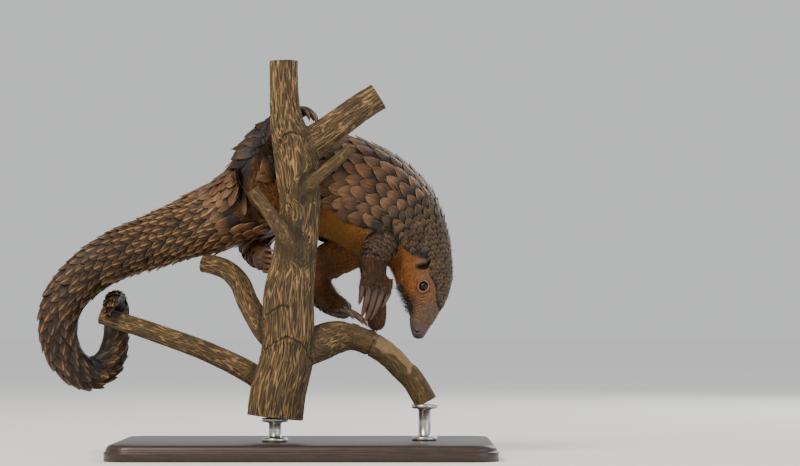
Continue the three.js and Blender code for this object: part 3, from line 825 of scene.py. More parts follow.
@dataclass
class Body:
    """The line from nose to tail tip, and what covers it where."""

    axis: Sequence[Row] = (
        (113, -2.5, 116.6, 3.4, 3.6, 0), (113.6, -1.8, 122, 7.3, 7.2, 0), (115, -1, 131, 10.9, 9.4, 0),
        (118, 0, 143, 15.2, 12.6, 0), (120, 1, 154, 20.2, 16.2, 0), (120.6, 2, 165.5, 25, 19.8, 0),
        (120, 4, 179.5, 28.6, 23.4, 0), (117, 6, 194, 31.4, 26.4, 1), (111.5, 9, 208, 36.8, 30, 3),
        (103, 12, 221.5, 43.8, 36, 6), (91, 16, 235.5, 50.9, 43, 12), (73, 22, 251, 55, 49.5, 20),
        (48.5, 29, 264.5, 56.5, 53, 28), (20, 36, 273, 56, 54, 35), (-9.5, 39, 276.5, 54.5, 53.5, 40),
        (-32, 40, 272, 50.5, 51, 45), (-53, 39, 259.5, 40.5, 44, 52), (-74, 36, 247.5, 31, 37.5, 60))
    tail: Sequence[Row] = (
        (-96, 33, 238), (-119, 29, 229), (-149, 22, 217), (-181, 13, 205), (-214, 7, 186), (-240, 4, 157),
        (-247, 7, 124), (-239, 14, 98.5), (-223, 22, 84), (-205, 28, 89), (-195, 30, 105), (-191, 27.5, 127),
        (-190, 22, 146), (-191, 8, 156.5), (-193, -6, 153.5), (-195, -14, 143.5))
    tail_root: Row = (25, 35.5, 68)  # half height, half width, roll
    tail_tip: Row = (6, 9, 64)
    tail_point: Row = (3, 4.5)
    tail_taper: Row = (0.56, 0.64)
    hook_roll: float = 36
    hook_share: float = 0.5
    curl_share: float = 0.6
    # How far round from the back the scales reach, by distance from the nose
    scale_limit: Table = ((30, 0), (32, 24), (35, 44), (38, 54), (51, 68), (60, 77), (75, 77), (80, 100),
                          (86, 112), (106, 118), (130, 138), (150, 141), (296, 141), (322, 181))
    # How deep the skin lies under the tips of scales and of hair
    scale_depth: Table = ((30, 0.8), (60, 1.5), (90, 2.3), (130, 3.8), (170, 4.7), (300, 4.7), (345, 4.2),
                          (430, 3.6), (520, 3.0), (640, 2.3), (736, 1.5))
    hair_depth: Table = ((0, 0.35), (45, 0.6), (75, 1.6), (110, 3.0), (150, 4.2), (736, 4.2))

    def __post_init__(self) -> None:
        """Work out the sweep of the whole line."""
        self.sweep = Sweep([*self.axis, *self._tail_rows()], (1, 0, 0))

    def _tail_rows(self) -> list[Row]:
        """Return the tail's rows, narrowing evenly and rolling as it curls."""
        last = len(self.tail) - 1
        rows = []
        for i, at in enumerate(self.tail):
            share = i / last
            roll = mix(self.tail_root[2], self.hook_roll, min(share / self.hook_share, 1) ** 2)
            past = max((share - self.curl_share) / (1 - self.curl_share), 0)
            roll += (self.tail_tip[2] - self.hook_roll) * past
            tall, wide = (mix(root, tip, share ** taper)
                          for root, tip, taper in zip(self.tail_root, self.tail_tip, self.tail_taper))
            if i == last:
                tall, wide = self.tail_point
            rows.append((*at, tall, wide, roll))
        return rows

    def scaled(self, along: Array, angle: Array, edge: float = 4.0) -> Array:
        """Return 1 where scales grow, 0 where they don't."""
        limit = read_table(self.scale_limit, along)
        return smooth(-edge, edge, limit - np.abs(np.degrees(self._wrap(angle)))) * smooth(29, 33, along)

    def depth(self, along: Array, angle: Array) -> Array:
        """Return how deep the skin lies under the outline."""
        scaled = self.scaled(along, angle, 8.0)
        return mix(read_table(self.hair_depth, along), read_table(self.scale_depth, along), scaled)

    def furred(self, along: Array, angle: Array) -> Array:
        """Return 1 where hair grows thick, 0 on scales and on the bare face."""
        off_back = np.abs(np.degrees(self._wrap(angle)))
        behind_eye = smooth(36, 54, along + (off_back - 118) * 0.18 + 2 * np.sin(off_back * 0.5))
        below_ear = np.maximum(smooth(94, 120, off_back + 5 * np.sin(along * 0.8)), smooth(76, 80, along))
        return behind_eye * below_ear * (1 - self.scaled(along, angle, 1.5))

    @staticmethod
    def _wrap(angle: Array) -> Array:
        """Return angles between minus and plus half a turn."""
        return (np.asarray(angle) + math.pi) % (2 * math.pi) - math.pi


@dataclass
class Claws:
    """Five claws in a row on a foot, each a horn that starts ahead and curls to its point."""

    at: Row
    ahead: Row
    curl: Row
    spread: float
    bend: float
    fan: float  # degrees by which each claw leans towards the middle one
    longs: Sequence[float]
    root: ClassVar[float] = 6.0
    middle: ClassVar[int] = 2
    least: ClassVar[float] = 2.1
    per_length: ClassVar[float] = 0.078
    taper: ClassVar[float] = 0.5
    tip: ClassVar[float] = 0.5
    flatness: ClassVar[float] = 0.76
    rings: ClassVar[int] = 4
    # A toe: distances from the claw's root, and its half height and half width against the claw's
    toe_rows: ClassVar[Sequence[Row]] = ((-17, 0.6, 0.5), (-9, 0.95, 0.76), (-3, 1.12, 0.92),
                                         (1.5, 1.12, 0.92), (4.6, 0.98, 0.8), (7, 0.6, 0.5))

    def axes(self, i: int) -> tuple[Array, Array, Array]:
        """Return where a claw starts, its direction ahead and the direction it curls to."""
        straight = unit(np.array(self.ahead, float))
        towards = np.array(self.curl, float)
        towards = unit(towards - straight * towards.dot(straight))
        across = np.cross(straight, towards)
        lean = math.radians(-self.fan * (i - self.middle))
        forward = straight * math.cos(lean) + across * math.sin(lean)
        start = np.array(self.at) + across * (i - self.middle) * self.spread - forward * self.root
        return start, forward, towards

    def thickness(self, long: float, share: Array) -> Array:
        """Return a claw's half height at a share of its length."""
        return (self.least + long * self.per_length) * (1 - share) ** self.taper + self.tip

    def line(self, i: int) -> Sweep:
        """Return the sweep of a claw, the first being on the inner side."""
        start, forward, towards = self.axes(i)
        reach = (self.longs[i] + self.root) / math.radians(self.bend)
        rows = []
        for share in np.linspace(0, 1, self.rings + 1):
            turned = math.radians(self.bend) * share
            at = start + forward * reach * math.sin(turned) + towards * reach * (1 - math.cos(turned))
            thick = self.thickness(self.longs[i], share)
            rows.append((*at, thick, thick * self.flatness))
        return Sweep(rows, -towards)

    def toe(self, i: int) -> Sweep:
        """Return the sweep of the toe that a claw grows from."""
        start, forward, towards = self.axes(i)
        thick = self.thickness(self.longs[i], 0)
        rows = [(*(start + forward * step), thick * tall, thick * wide) for step, tall, wide in self.toe_rows]
        return Sweep(rows, -towards)


@dataclass
class Limb:
    """A leg: its line from the trunk to the foot, its outer side, and its claws."""

    name: str
    up: Row
    rows: Sequence[Row]
    outer: Row
    claws: Claws
    scale_end: float  # share of its length where the scales stop
    bare_from: float  # share of its length where the hair thins out to bare skin
    pitch: float  # distance between rows of scales
    column: float  # distance between columns of scales
    lie: Row | None = None  # direction of the scale tips, where it isn't towards the foot
    dark: float = 0.6  # how far its hair is darkened past the belly's, as painted shade
    scale_depth: ClassVar[float] = 2.4
    hair_depth: ClassVar[float] = 1.6
    outer_limit: ClassVar[float] = 0.12

    def __post_init__(self) -> None:
        """Work out the sweep."""
        self.sweep = Sweep(self.rows, self.up)

    def nodes(self) -> list[str]:
        """Return the names of the CAD nodes of the leg's flesh."""
        parts = ("upper", "lower") if self.name.startswith("fore") else ("thigh", "shank")
        return [f"{self.name}_{part}" for part in parts]

    def scaled(self, along: Array, angle: Array) -> Array:
        """Return 1 on the scaled outer side, 0 on the inner side and on the foot."""
        facing = dot(self.sweep.outward(along, angle), unit(np.array(self.outer, float)))
        end = self.sweep.length * self.scale_end
        return smooth(-0.12, 0.12, facing - self.outer_limit) * (1 - smooth(end - 3, end + 3, along))

    def furred(self, along: Array, angle: Array) -> Array:
        """Return 1 where hair grows thick, 0 on scales and on the bare foot."""
        bare = smooth(self.bare_from, self.bare_from + 0.14, np.asarray(along) / self.sweep.length)
        return (1 - self.scaled(along, angle)) * (1 - bare)

    def depth(self, along: Array, angle: Array) -> Array:
        """Return how deep the skin lies under the outline."""
        deep = mix(self.hair_depth, self.scale_depth, self.scaled(along, angle))
        return deep * (1 - 0.7 * smooth(0.72, 0.95, np.asarray(along) / self.sweep.length))


LIMBS = (
    Limb("foreleg_right", (1, -0.4, 0),
         ((84, 4, 236, 26, 24), (79, -10, 216, 22, 20), (69.5, -20, 200, 17, 16),
          (68.5, -24.5, 184, 14.5, 13.5), (69.5, -25.5, 170, 12.8, 12), (70, -24.5, 156, 13, 10.3),
          (71, -22, 143, 12.2, 9.2), (71.5, -17.5, 132, 9.6, 8.4), (72, -13.5, 125.5, 5, 6)),
         (0.35, -0.9, 0.2),
         Claws((69.5, -36, 161), (-0.2, -0.14, -1), (-0.3, 0.9, 0), 6.5, 44, 4, (15, 28, 32, 29, 15)),
         scale_end=0.4, bare_from=0.9, pitch=3.7, column=6.4, dark=0.9),
    Limb("foreleg_left", (0.4, 0.3, 1),
         ((72, 34, 224, 28, 26), (46, 40, 209, 23, 22), (14, 45, 189, 18, 17), (11, 38, 171, 16.5, 15),
          (20, 26, 158, 14.5, 13), (32, 14, 149.5, 12, 12), (44, 5, 144, 8.5, 10.5)),
         (-0.5, 0.85, -0.1),
         Claws((44, 5, 144), (0.95, -0.28, -0.06), (0.1, -0.1, -1), 6, 55, 2, (12, 22, 26, 22, 12)),
         scale_end=0.8, bare_from=0.86, pitch=4.8, column=8.0, dark=0.6),
    Limb("hindleg_right", (-1, 0, 0),
         ((-24, 14, 258, 27, 30), (-41, -2, 274, 24, 25), (-52, -9, 292, 19, 19), (-44, -6, 311, 16.5, 15),
          (-32, -4, 327, 15.5, 13), (-18, -8, 339, 11.5, 12), (-7, -12, 345, 8.5, 10)),
         (-0.75, -0.15, 0.6),
         Claws((-7, -12.5, 345), (0.72, -0.36, 0.6), (0.45, -0.35, -0.8), 6.4, 118, 0, (15, 25, 30, 27, 15)),
         scale_end=0.84, bare_from=0.8, pitch=7.2, column=11.0, lie=(-1.0, -0.1, -0.25), dark=1.0),
    Limb("hindleg_left", (-1, 0, 0),
         ((-28, 62, 262, 26, 26), (-44, 70, 240, 24, 23), (-53, 66, 217, 18, 18), (-50, 46, 203, 14, 14),
          (-45, 24, 199, 12, 12.5), (-42, 4, 197, 11, 12), (-39, -9, 195.5, 9, 11)),
         (-0.6, 0.7, -0.3),
         Claws((-39.2, -9, 195.5), (-0.12, -1, -0.08), (1, -0.3, -0.1), 5.3, 75, 0, (12, 20, 23, 20, 12)),
         scale_end=0.8, bare_from=0.78, pitch=4.8, column=8.0),
)


@dataclass
class Spots:
    """Places on the animal: which sweep each belongs to, and where on it. 0 is the body."""

    owner: Array
    along: Array
    angle: Array
    length: Sequence[float]
    # The chart: the body's strip above, the four legs side by side below
    body_strip: ClassVar[Row] = (0.02, 0.96, 0.36, 0.62)
    leg_strip: ClassVar[Row] = (0.02, 0.24, 0.02, 0.3)
    patch: ClassVar[float] = 0.003

    def pick(self, which: Array) -> "Spots":
        """Return some of the places, chosen by numbers or by true and false."""
        return Spots(self.owner[which], self.along[which], self.angle[which], self.length)

    def share(self) -> Array:
        """Return how far along its sweep each place lies, from 0 to 1."""
        return self.along / np.array(self.length)[self.owner]

    def chart(self) -> Array:
        """Return each place's own spot on an unwrap of the skin, as two numbers from 0 to 1."""
        turn, share = (self.angle / (2 * math.pi) + 0.5) % 1, self.share()
        left, wide, low, high = self.body_strip
        body = np.stack([left + wide * share, low + high * turn], axis=1)
        left, wide, low, high = self.leg_strip
        legs = np.stack([left + wide * (self.owner - 1 + share * 0.94), low + high * turn], axis=1)
        return np.where((self.owner == 0)[:, None], body, legs)


@dataclass
class Skin:
    """One skin over body and legs, with the folds of the face, and what lies where on it."""

    body: Body
    limbs: Sequence[Limb]
    voxel: float = 2.2
    blend_rounds: int = 9
    head_end: float = 84
    face_end: float = 66
    foot_share: float = 0.6
    # For the pattern of the short fur: mean radius of trunk and legs, and how far it leans down the sides
    body_radius: float = 40.0
    leg_radius: float = 14.0
    lean: float = 0.35
    # Features of the face: distance from the nose and degrees from the back of the head
    eye: Row = (51.5, 95)
    ear: Row = (70, 91)
    nostril: Row = (6.6, 108)
    eye_size: float = 1.1
    eye_opening: float = 4.2  # radius between the lids, before eye_size
    # Creases round the eye: how high each rises or falls, its radius and its width
    eye_creases: Sequence[Row] = ((0.6, 7.1, 0.75), (0.5, 9.3, 0.8), (0.35, 11.6, 0.9), (-0.45, 6.0, 0.45),
                                  (-0.4, 8.2, 0.45))
    values: dict[str, Array] = field(default_factory=dict)

    def __post_init__(self) -> None:
        """Fuse the lofts, refine and shape the head, and sort the points by what they belong to."""
        self.noise = Noise(SEED)
        shell = remesh(*join(self._lofts()), self.voxel)
        points = read_all(shell.vertices, "co", float)
        spots = self._sort(points)
        strength = np.where(spots.owner == 0, mix(0.1, 0.55, smooth(80, 100, spots.along)),
                            mix(0.55, 0.25, smooth(0.75, 0.9, spots.share())))
        points = relax(points, read_all(shell.edges, "vertices"), self.blend_rounds, strength)
        shell.vertices.foreach_set("co", points.ravel())
        self._refine(shell)
        self.points = read_all(shell.vertices, "co", float)
        self.triangles = triangles_of(shell)
        self.faces = [list(p.vertices) for p in shell.polygons]
        bpy.data.meshes.remove(shell)
        self.spots = self._sort(self.points)
        self.normals = point_normals(self.points, self.triangles)
        self._fold_feet()
        self._shape_head()
        self.normals = point_normals(self.points, self.triangles)
        self.tree = BVHTree.FromPolygons(self.points.tolist(), self.triangles.tolist(), all_triangles=True)
        self._mark()

    def _lofts(self) -> list[tuple[Array, list]]:
        """Return the overlapping closed lofts of body, legs and toes."""
        sweep = self.body.sweep
        lofts = [sweep.loft(0.1, sweep.length - 1, 72, 2.6, lambda a, t: -self.body.depth(a, t), 2.4, 4)]
        for limb in self.limbs:
            lofts.append(limb.sweep.loft(0, limb.sweep.length, 36, 2.6,
                                         lambda a, t, leg=limb: -leg.depth(a, t), 0, 5))
            for i in range(5):
                toe = limb.claws.toe(i)
                lofts.append(toe.loft(0, toe.length, 14, 1.6, 0.0, 2, 2))
        return lofts

    def _refine(self, shell: bpy.types.Mesh) -> None:
        """Cut the faces of head and feet finer, and those of the face twice."""
        for end in (self.head_end, self.face_end):
            build = bmesh.new()
            build.from_mesh(shell)
            build.verts.ensure_lookup_table()
            spots = self._sort(np.array([v.co for v in build.verts]))
            near = (spots.owner == 0) & (spots.along < end)
            if end == self.head_end:
                near |= (spots.owner > 0) & (spots.share() > self.foot_share)
            edges = [e for e in build.edges if near[e.verts[0].index] and near[e.verts[1].index]]
            bmesh.ops.subdivide_edges(build, edges=edges, cuts=1, use_grid_fill=True)
            build.to_mesh(shell)
            build.free()

    def _sort(self, points: Array) -> Spots:
        """Return where each point lies, on whichever tube it is least outside of."""
        found = [s.locate(points) for s in self.sweeps()]
        owner = np.stack([f[2] for f in found]).argmin(0)
        pick = np.arange(len(points))
        along, angle = (np.stack([f[k] for f in found])[owner, pick] for k in (0, 1))
        return Spots(owner, along, angle, [s.length for s in self.sweeps()])

    def sweeps(self) -> list[Sweep]:
        """Return the sweeps of the body and the legs."""
        return [self.body.sweep, *(limb.sweep for limb in self.limbs)]

    def around(self, feature: Row, side: Side, points: Array) -> tuple[Array, Array, Array]:
        """Return how far points lie behind, below and in front of a feature of the head.

        Args:
            feature: Its distance from the nose and its angle from the back of the head.
            side: The animal's side that it is on.
            points: Points, one a row.

        Returns:
            Distance behind it, distance below it and distance out of it, each one value a point.
        """
        along, turn = feature[0], math.radians(feature[1]) * side.value
        sweep = self.body.sweep
        centre, out = sweep.point(along, turn), sweep.outward(along, turn)
        back = unit(sweep.frame(along)[1] - out * sweep.frame(along)[1].dot(out))
        down = np.cross(back, out) * -side.value
        gap = points - centre
        return gap @ back, gap @ down, gap @ out

    def _fold_feet(self) -> None:
        """Crease the skin of the feet, in folds along them."""
        spots = self.spots
        reach = (spots.owner > 0) * smooth(self.foot_share - 0.05, self.foot_share + 0.1, spots.share())
        rolled = np.stack([11 * np.cos(spots.angle), 11 * np.sin(spots.angle), spots.along / 4], axis=1)
        rise = 0.75 * self.noise(rolled, 3.4) + 0.3 * self.noise(self.points, 4.0)
        self.points = self.points + self.normals * (rise * reach)[:, None]

    def _shape_head(self) -> None:
        """Lay the head's points on its true outline, then fold and hollow the face."""
        spots, sweep = self.spots, self.body.sweep
        hold = (1 - smooth(self.head_end, self.head_end + 14, spots.along)) * (spots.owner == 0)
        head = np.flatnonzero(hold > 0)
        along, angle = spots.along[head], spots.angle[head]
        true = sweep.point(along, angle, -self.body.depth(along, angle))
        tip = smooth(0.0, 3.0, along)[:, None]
        self.points[head] = mix(self.points[head], true, hold[head][:, None] * tip)
        out = sweep.outward(along, angle)
        places = self.points[head]
        height = np.zeros(len(head))
        marks = {name: np.zeros(len(self.points)) for name in ("lid", "hollow", "flush", "nose")}
        for side in Side:
            for relief in (self._eye_folds, self._ear_folds, self._nostril_folds):
                rise, values = relief(side, places)
                height += rise
                for name, value in values.items():
                    marks[name][head] = np.maximum(marks[name][head], value)
        height += self._face_creases(along, angle, places) * (1 - np.minimum(marks["lid"][head], 1))
        height += self._mouth(along, angle, marks, head)
        from_tip = along + 2.2 * np.cos(angle) + 1.5 * self.noise(places, 5.0)
        marks["nose"][head] = 1 - smooth(11.0, 20.0, from_tip)
        self.points[head] += out * height[:, None]
        self.values.update(marks)

    def _eye_folds(self, side: Side, places: Array) -> tuple[Array, dict[str, Array]]:
        """Return the rise of the lids and the rings of creases round an eye, and its marks."""
        back, down, out = self.around(self.eye, side, places)
        near = (np.abs(out) < 12) & (np.hypot(back, down) < 18)
        slant = back * 0.92 + down * 0.38
        cross = down * 0.92 - back * 0.38
        ring = np.hypot(slant / 1.08, cross * 1.04) / self.eye_size
        # Here and in the folds below each bell is one crease or rim: its height, its place and its width.
        # The rings of creases crowd towards the ear and open out towards the nose
        outer = ring * (1 + 0.12 * back / np.maximum(ring, 1)) + 0.5 * self.noise(places, 4.0)
        rise = 1.1 * bell(ring - 4.9, 0.8)
        for high, radius, width in self.eye_creases:
            rise += high * bell(outer - radius, width)
        opening = self.eye_opening
        rise += 0.8 * bell(ring, 9.0) * (ring > opening)
        rise = np.where(ring < opening, mix(-4.2, 0.9, smooth(2.6, opening, ring)), rise)
        lid = 0.85 * bell(ring - 4.5, 0.38) * smooth(-0.7, 0.2, self.noise(places, 2.2))
        # The socket round the eyeball and the first crease get painted shade
        values = {"lid": lid, "flush": bell(np.hypot(back * 0.8, down), 13.0),
                  "hollow": np.maximum(1 - smooth(3.5, 4.1, ring), 0.55 * bell(outer - 6.0, 0.45))}
        return rise * near, {name: value * near for name, value in values.items()}

    def _ear_folds(self, side: Side, places: Array) -> tuple[Array, dict[str, Array]]:
        """Return the rise of an ear: a low thick rim in front of a deep narrow hollow."""
        back, down, out = self.around(self.ear, side, places)
        near = (np.abs(out) < 12) & (np.abs(down) < 12) & (np.abs(back) < 13)
        arc = back - 0.035 * down**2 + 0.5 * self.noise(places, 4.0)
        ends = np.clip(1 - ((down - 0.5) / 10.5) ** 2, 0, 1)
        rim = 2.0 * bell(arc + 0.8 + 2.9 * ends, 1.5) * ends + 1.7 * bell(arc - 1.0 - 4.0 * ends, 1.8) * ends
        hole = 4.4 * bell(arc - 0.6, 0.4 + 2.3 * ends) * ends
        # The ear hole gets painted shade
        values = {"hollow": np.clip(hole / 2.4, 0, 1) * near, "flush": 0.8 * bell(arc + 4, 3.5) * near}
        return (rim - hole) * near, values

    def _nostril_folds(self, side: Side, places: Array) -> tuple[Array, dict[str, Array]]:
        """Return the rise round a nostril: a comma-shaped slit under a soft rim."""
        back, down, out = self.around(self.nostril, side, places)
        near = (np.abs(out) < 4) & (np.hypot(back, down) < 8)
        arc = back - 0.12 * down**2 + 0.25 * down
        slit = bell(arc, 0.75) * bell(down, 2.3)
        rim = 0.55 * bell(arc + 1.5, 0.8) * bell(down, 2.8) + 0.4 * bell(arc - 1.5, 0.8) * bell(down, 2.8)
        # The nostril's slit gets painted shade
        return (rim - 1.7 * slit) * near, {"hollow": np.clip(slit * 1.3, 0, 1) * near}

    def _face_creases(self, along: Array, angle: Array, places: Array) -> Array:
        """Return the rise of fine folds across the muzzle, the cheek and the nose pad's edge."""
        off_back = np.abs(angle)
        lane = along + 3.0 * np.cos(off_back * 2) + 2.2 * self.noise(places, 7.0)
        folds = 0.16 * np.sin(lane * 2 * math.pi / 3.4) * bell(along - 30, 18)
        slanting = along * 0.8 + off_back * 11 + 2.5 * self.noise(places + 50, 6.0)
        folds += 0.14 * np.sin(slanting * 2 * math.pi / 4.2) * bell(along - 40, 10) * (off_back > 0.9)
        folds -= 0.5 * bell(along + 2.2 * np.cos(angle) - 18.2, 0.8)
        return folds + 0.28 * self.noise(places, 3.4) + 0.35 * self.noise(places, 9.0)

    def _mouth(self, along: Array, angle: Array, marks: dict[str, Array], head: Array) -> Array:
        """Return the rise of the small mouth under the tip of the muzzle, and paint shade into it."""
        off_belly = math.pi - np.abs(angle)
        line = off_belly - 0.62 * np.clip(along / 5, 0, 1) + 0.02 * along
        slit = bell(line * 7.0, 0.75) * smooth(2.2, 4.0, along) * (1 - smooth(17, 22, along))
        # Painted shade in the mouth's slit
        marks["hollow"][head] = np.maximum(marks["hollow"][head], 0.8 * slit)
        return -0.8 * slit

    def _mark(self) -> None:
        """Keep where hair and scales grow, and the small markings, on the skin's points."""
        spots = self.spots
        along, angle, owner = spots.along, spots.angle, spots.owner
        furred, scaled = self.body.furred(along, angle), self.body.scaled(along, angle)
        for i, limb in enumerate(self.limbs, 1):
            furred = np.where(owner == i, limb.furred(along, angle), furred)
            scaled = np.where(owner == i, limb.scaled(along, angle), scaled)
        turned = np.where(owner == 0, self.body_radius, self.leg_radius) * np.abs(angle)
        lean = self.lean * (owner == 0)
        # dark: painted shade on the hair, towards the groin and on the legs
        self.values.update(
            furred=furred, scaled=scaled, dark=self.dark(spots), chin=self.chin(spots),
            paw=(owner > 0) * smooth(0.3, 0.6, spots.share()),
            lane=turned * np.cos(lean) - along * np.sin(lean),
            run=along * np.cos(lean) + turned * np.sin(lean))

    def dark(self, spots: Spots) -> Array:
        """Return how far the hair is darkened at each place, as painted shade: towards the groin and down the
        legs.
        """
        legs = [limb.dark * smooth(0.15, 0.5, spots.share()) for limb in self.limbs]
        return np.choose(spots.owner, [smooth(226, 264, spots.along), *legs])

    @staticmethod
    def chin(spots: Spots) -> Array:
        """Return 1 on the dark chin, 0 off it."""
        under = (spots.owner == 0) * smooth(1.8, 2.6, np.abs(spots.angle))
        return under * smooth(16, 26, spots.along) * (1 - smooth(48, 62, spots.along))

    def nearest(self, places: Array) -> tuple[Array, Array]:
        """Return the skin's nearest points to places, and its directions outward there."""
        found = [self.tree.find_nearest(place) for place in places.tolist()]
        spots = np.array([f[0] for f in found])
        corners = self.triangles[np.array([f[2] for f in found])]
        a, b, c = self.points[corners.T]
        ab, ac, ap = b - a, c - a, spots - a
        d00, d01, d11, d20, d21 = dot(ab, ab), dot(ab, ac), dot(ac, ac), dot(ap, ab), dot(ap, ac)
        size = np.maximum(d00 * d11 - d01 * d01, 1e-12)
        v, w = (d11 * d20 - d01 * d21) / size, (d00 * d21 - d01 * d20) / size
        shares = (1 - v - w, v, w)
        return spots, unit(sum(self.normals[corner] * s[:, None] for corner, s in zip(corners.T, shares)))

    def piece(self) -> Piece:
        """Return the skin as a piece."""
        return Piece("skin", self.points, self.faces, self.values)


@dataclass
class Rows:
    """Scales in the making, one a row: where each grows, how it lies and its size."""

    root: Array
    lie: Array
    long: Array
    half_width: Array
    rise: Array
    spots: Spots


@dataclass(frozen=True)
class Shield:
    """The shape of one kind of scale."""

    cells: tuple[int, int]  # points across and along
    taper: float = 0.5  # share of its length over which it narrows to its tip
    point: float = 0.6  # 0.5 ends it round, 1 in a sharp point
    crown: float = 0.3  # how far its middle stands over its sides, against its rise
    keel: float = 0.06
    lip: float = 0.0  # how far its edge turns up
    wobble: float = 0.05  # how far scales differ, in length and in radians of turn


BACK_SHIELD = Shield((12, 14), taper=0.44, point=0.52)
TAIL_SHIELD = Shield((9, 10), keel=0.14, crown=0.26)
NECK_SHIELD = Shield((8, 9), taper=0.42, point=0.52, crown=0.1, keel=0.0, lip=0.16, wobble=0.13)
SMALL_SHIELD = Shield((6, 8), taper=0.42, point=0.55, crown=0.15, keel=0.0, lip=0.1, wobble=0.11)
LEG_SHIELD = Shield((7, 8), taper=0.45, wobble=0.09)
THIGH_SHIELD = Shield((9, 10), taper=0.6, point=0.72, keel=0.12, wobble=0.08)


@dataclass
class ScaleCoat:
    """Overlapping horn scales in staggered rows, each a curved shield over the skin."""

    skin: Skin
    # Distance between rows and turn between columns, by distance from the nose
    row_pitch: Table = ((30, 2.7), (70, 3.1), (88, 4.0), (98, 4.7), (110, 6.6), (122, 9.0), (145, 10.8),
                        (200, 11.2), (300, 10.2), (345, 8.6), (520, 8.6), (600, 7.8), (680, 6.0), (736, 4.5))
    column_turn: Table = ((30, 8.2), (80, 8.6), (96, 10.0), (108, 12.2), (122, 14.2), (296, 14.6), (318, 18))
    tail_columns: Table = ((318, 20), (372, 18), (410, 15), (455, 13), (500, 11), (545, 9), (680, 7))
    reach: Table = ((30, 2.7), (90, 2.9), (150, 3.2), (736, 3.2))  # a scale's length in rows
    overlap: float = 0.62  # half width against the distance between columns
    body_favour: float = 1.0  # where body and leg meet, the body's scales win by this
    ragged: Row = (7, 9.0)  # how far the line between two kinds of scale strays, and over what distance
    trunk: tuple[float, float] = (113, 318)  # from where to where along the body the largest scales grow

    def rows_on_body(self) -> Rows:
        """Return the scales of head, trunk and tail."""
        body = self.skin.body
        along, rings = self.row_pitch[0][0] + 1.5, []
        while along < body.sweep.length - 4:
            odd = len(rings) % 2 / 2
            if along < self.tail_columns[0][0]:
                turn = float(read_table(self.column_turn, along))
                angles = (np.arange(-16, 17) + odd) * turn
                angles = angles[np.abs(angles) <= read_table(body.scale_limit, along)]
            else:
                count = [n for start, n in self.tail_columns if start <= along][-1]
                turn = 360 / count
                angles = (np.arange(count) + odd) * turn - 180
            rings.append((along, np.radians(angles), np.radians(turn)))
            along += float(read_table(self.row_pitch, along))
        target, wide, spots = self._rooted(0, rings, body.depth)
        along, angle = spots.along, spots.angle
        lean = 0.4 * smooth(0.6, 1.4, np.abs(angle)) * smooth(100, 125, along) * (1 - smooth(290, 330, along))
        long = read_table(self.row_pitch, along) * read_table(self.reach, along)
        return Rows(target, body.sweep.lie(along, angle, lean), long, wide * self.overlap,
                    read_table(body.scale_depth, along) - 0.2, spots)

    def rows_on_leg(self, number: int) -> Rows:
        """Return the scales of a leg, by its number from 1."""
        limb = self.skin.limbs[number - 1]
        sweep, rings, along = limb.sweep, [], 4.0
        while along < sweep.length * limb.scale_end:
            count = max(7, round(2 * math.pi * float(sweep.girth_rate(along, 0.8)) / limb.column))
            angles = (np.arange(count) + len(rings) % 2 / 2) * 2 * math.pi / count
            rings.append((along, angles, 2 * math.pi / count))
            along += limb.pitch
        target, wide, spots = self._rooted(number, rings, lambda *_: limb.scale_depth)
        keep = limb.scaled(spots.along, spots.angle) > 0.5
        target, wide, spots = target[keep], wide[keep], spots.pick(keep)
        lie = sweep.frame(spots.along)[1]
        if limb.lie is not None:
            share = (1 - smooth(0.6, 0.9, spots.along / sweep.length))[:, None]
            lie = unit(mix(lie, unit(np.array(limb.lie)), share))
        size = 1 - 0.45 * smooth(0.65, 1.0, spots.along / (sweep.length * limb.scale_end))
        return Rows(target, lie, size * limb.pitch * 3.1, size * wide * self.overlap * 1.05,
                    size * limb.scale_depth - 0.1, spots)

    def _rooted(self, number: int, rings: Sequence[tuple], depth: Callable) -> tuple[Array, Array, Spots]:
        """Return where scales grow on a tube, leaving out those that another tube covers.

        Args:
            number: The tube's number, 0 for the body.
            rings: For each ring of scales its distance along, its angles, and the turn between them.
            depth: How deep the skin lies, by distance along and angle.

        Returns:
            Their roots, the distances between columns there, and where they lie.
        """
        along, angle, turn = np.concatenate([np.broadcast_arrays(*ring) for ring in rings], axis=1)
        sweep = self.skin.sweeps()[number]
        target = sweep.point(along, angle, -depth(along, angle))
        outside = np.stack([s.locate(target)[2] for s in self.skin.sweeps()])
        outside[0] -= self.body_favour
        keep = outside.argmin(0) == number
        wide = turn * sweep.girth_rate(along, angle)
        spots = Spots(np.full(len(along), number), along, angle, self.skin.spots.length)
        return target[keep], wide[keep], spots.pick(keep)

    def shields(self, name: str, rows: Rows, keep: Array, shape: Shield, seed: int) -> Piece:
        """Return scales as one joined mesh.

        Args:
            name: The piece's name.
            rows: All scales.
            keep: Which of them to make.
            shape: Their shape.
            seed: Seed of their small differences.

        Returns:
            The piece, with its map and the values its finish reads.
        """
        count, (wide_cells, long_cells) = int(keep.sum()), shape.cells
        draw = np.random.default_rng(seed)
        long = rows.long[keep] * draw.uniform(1 - shape.wobble, 1 + shape.wobble, count)
        half, rise = rows.half_width[keep] * draw.uniform(0.95, 1.06, count), rows.rise[keep]
        base, normal = self.skin.nearest(rows.root[keep])
        lie, side = lay(rows.lie[keep], normal, draw.normal(0, shape.wobble, count)[:, None])
        axes = [v[:, None, None] for v in (base, lie, side, normal)]
        long, half, rise = (v[:, None, None] for v in (long, half, rise))
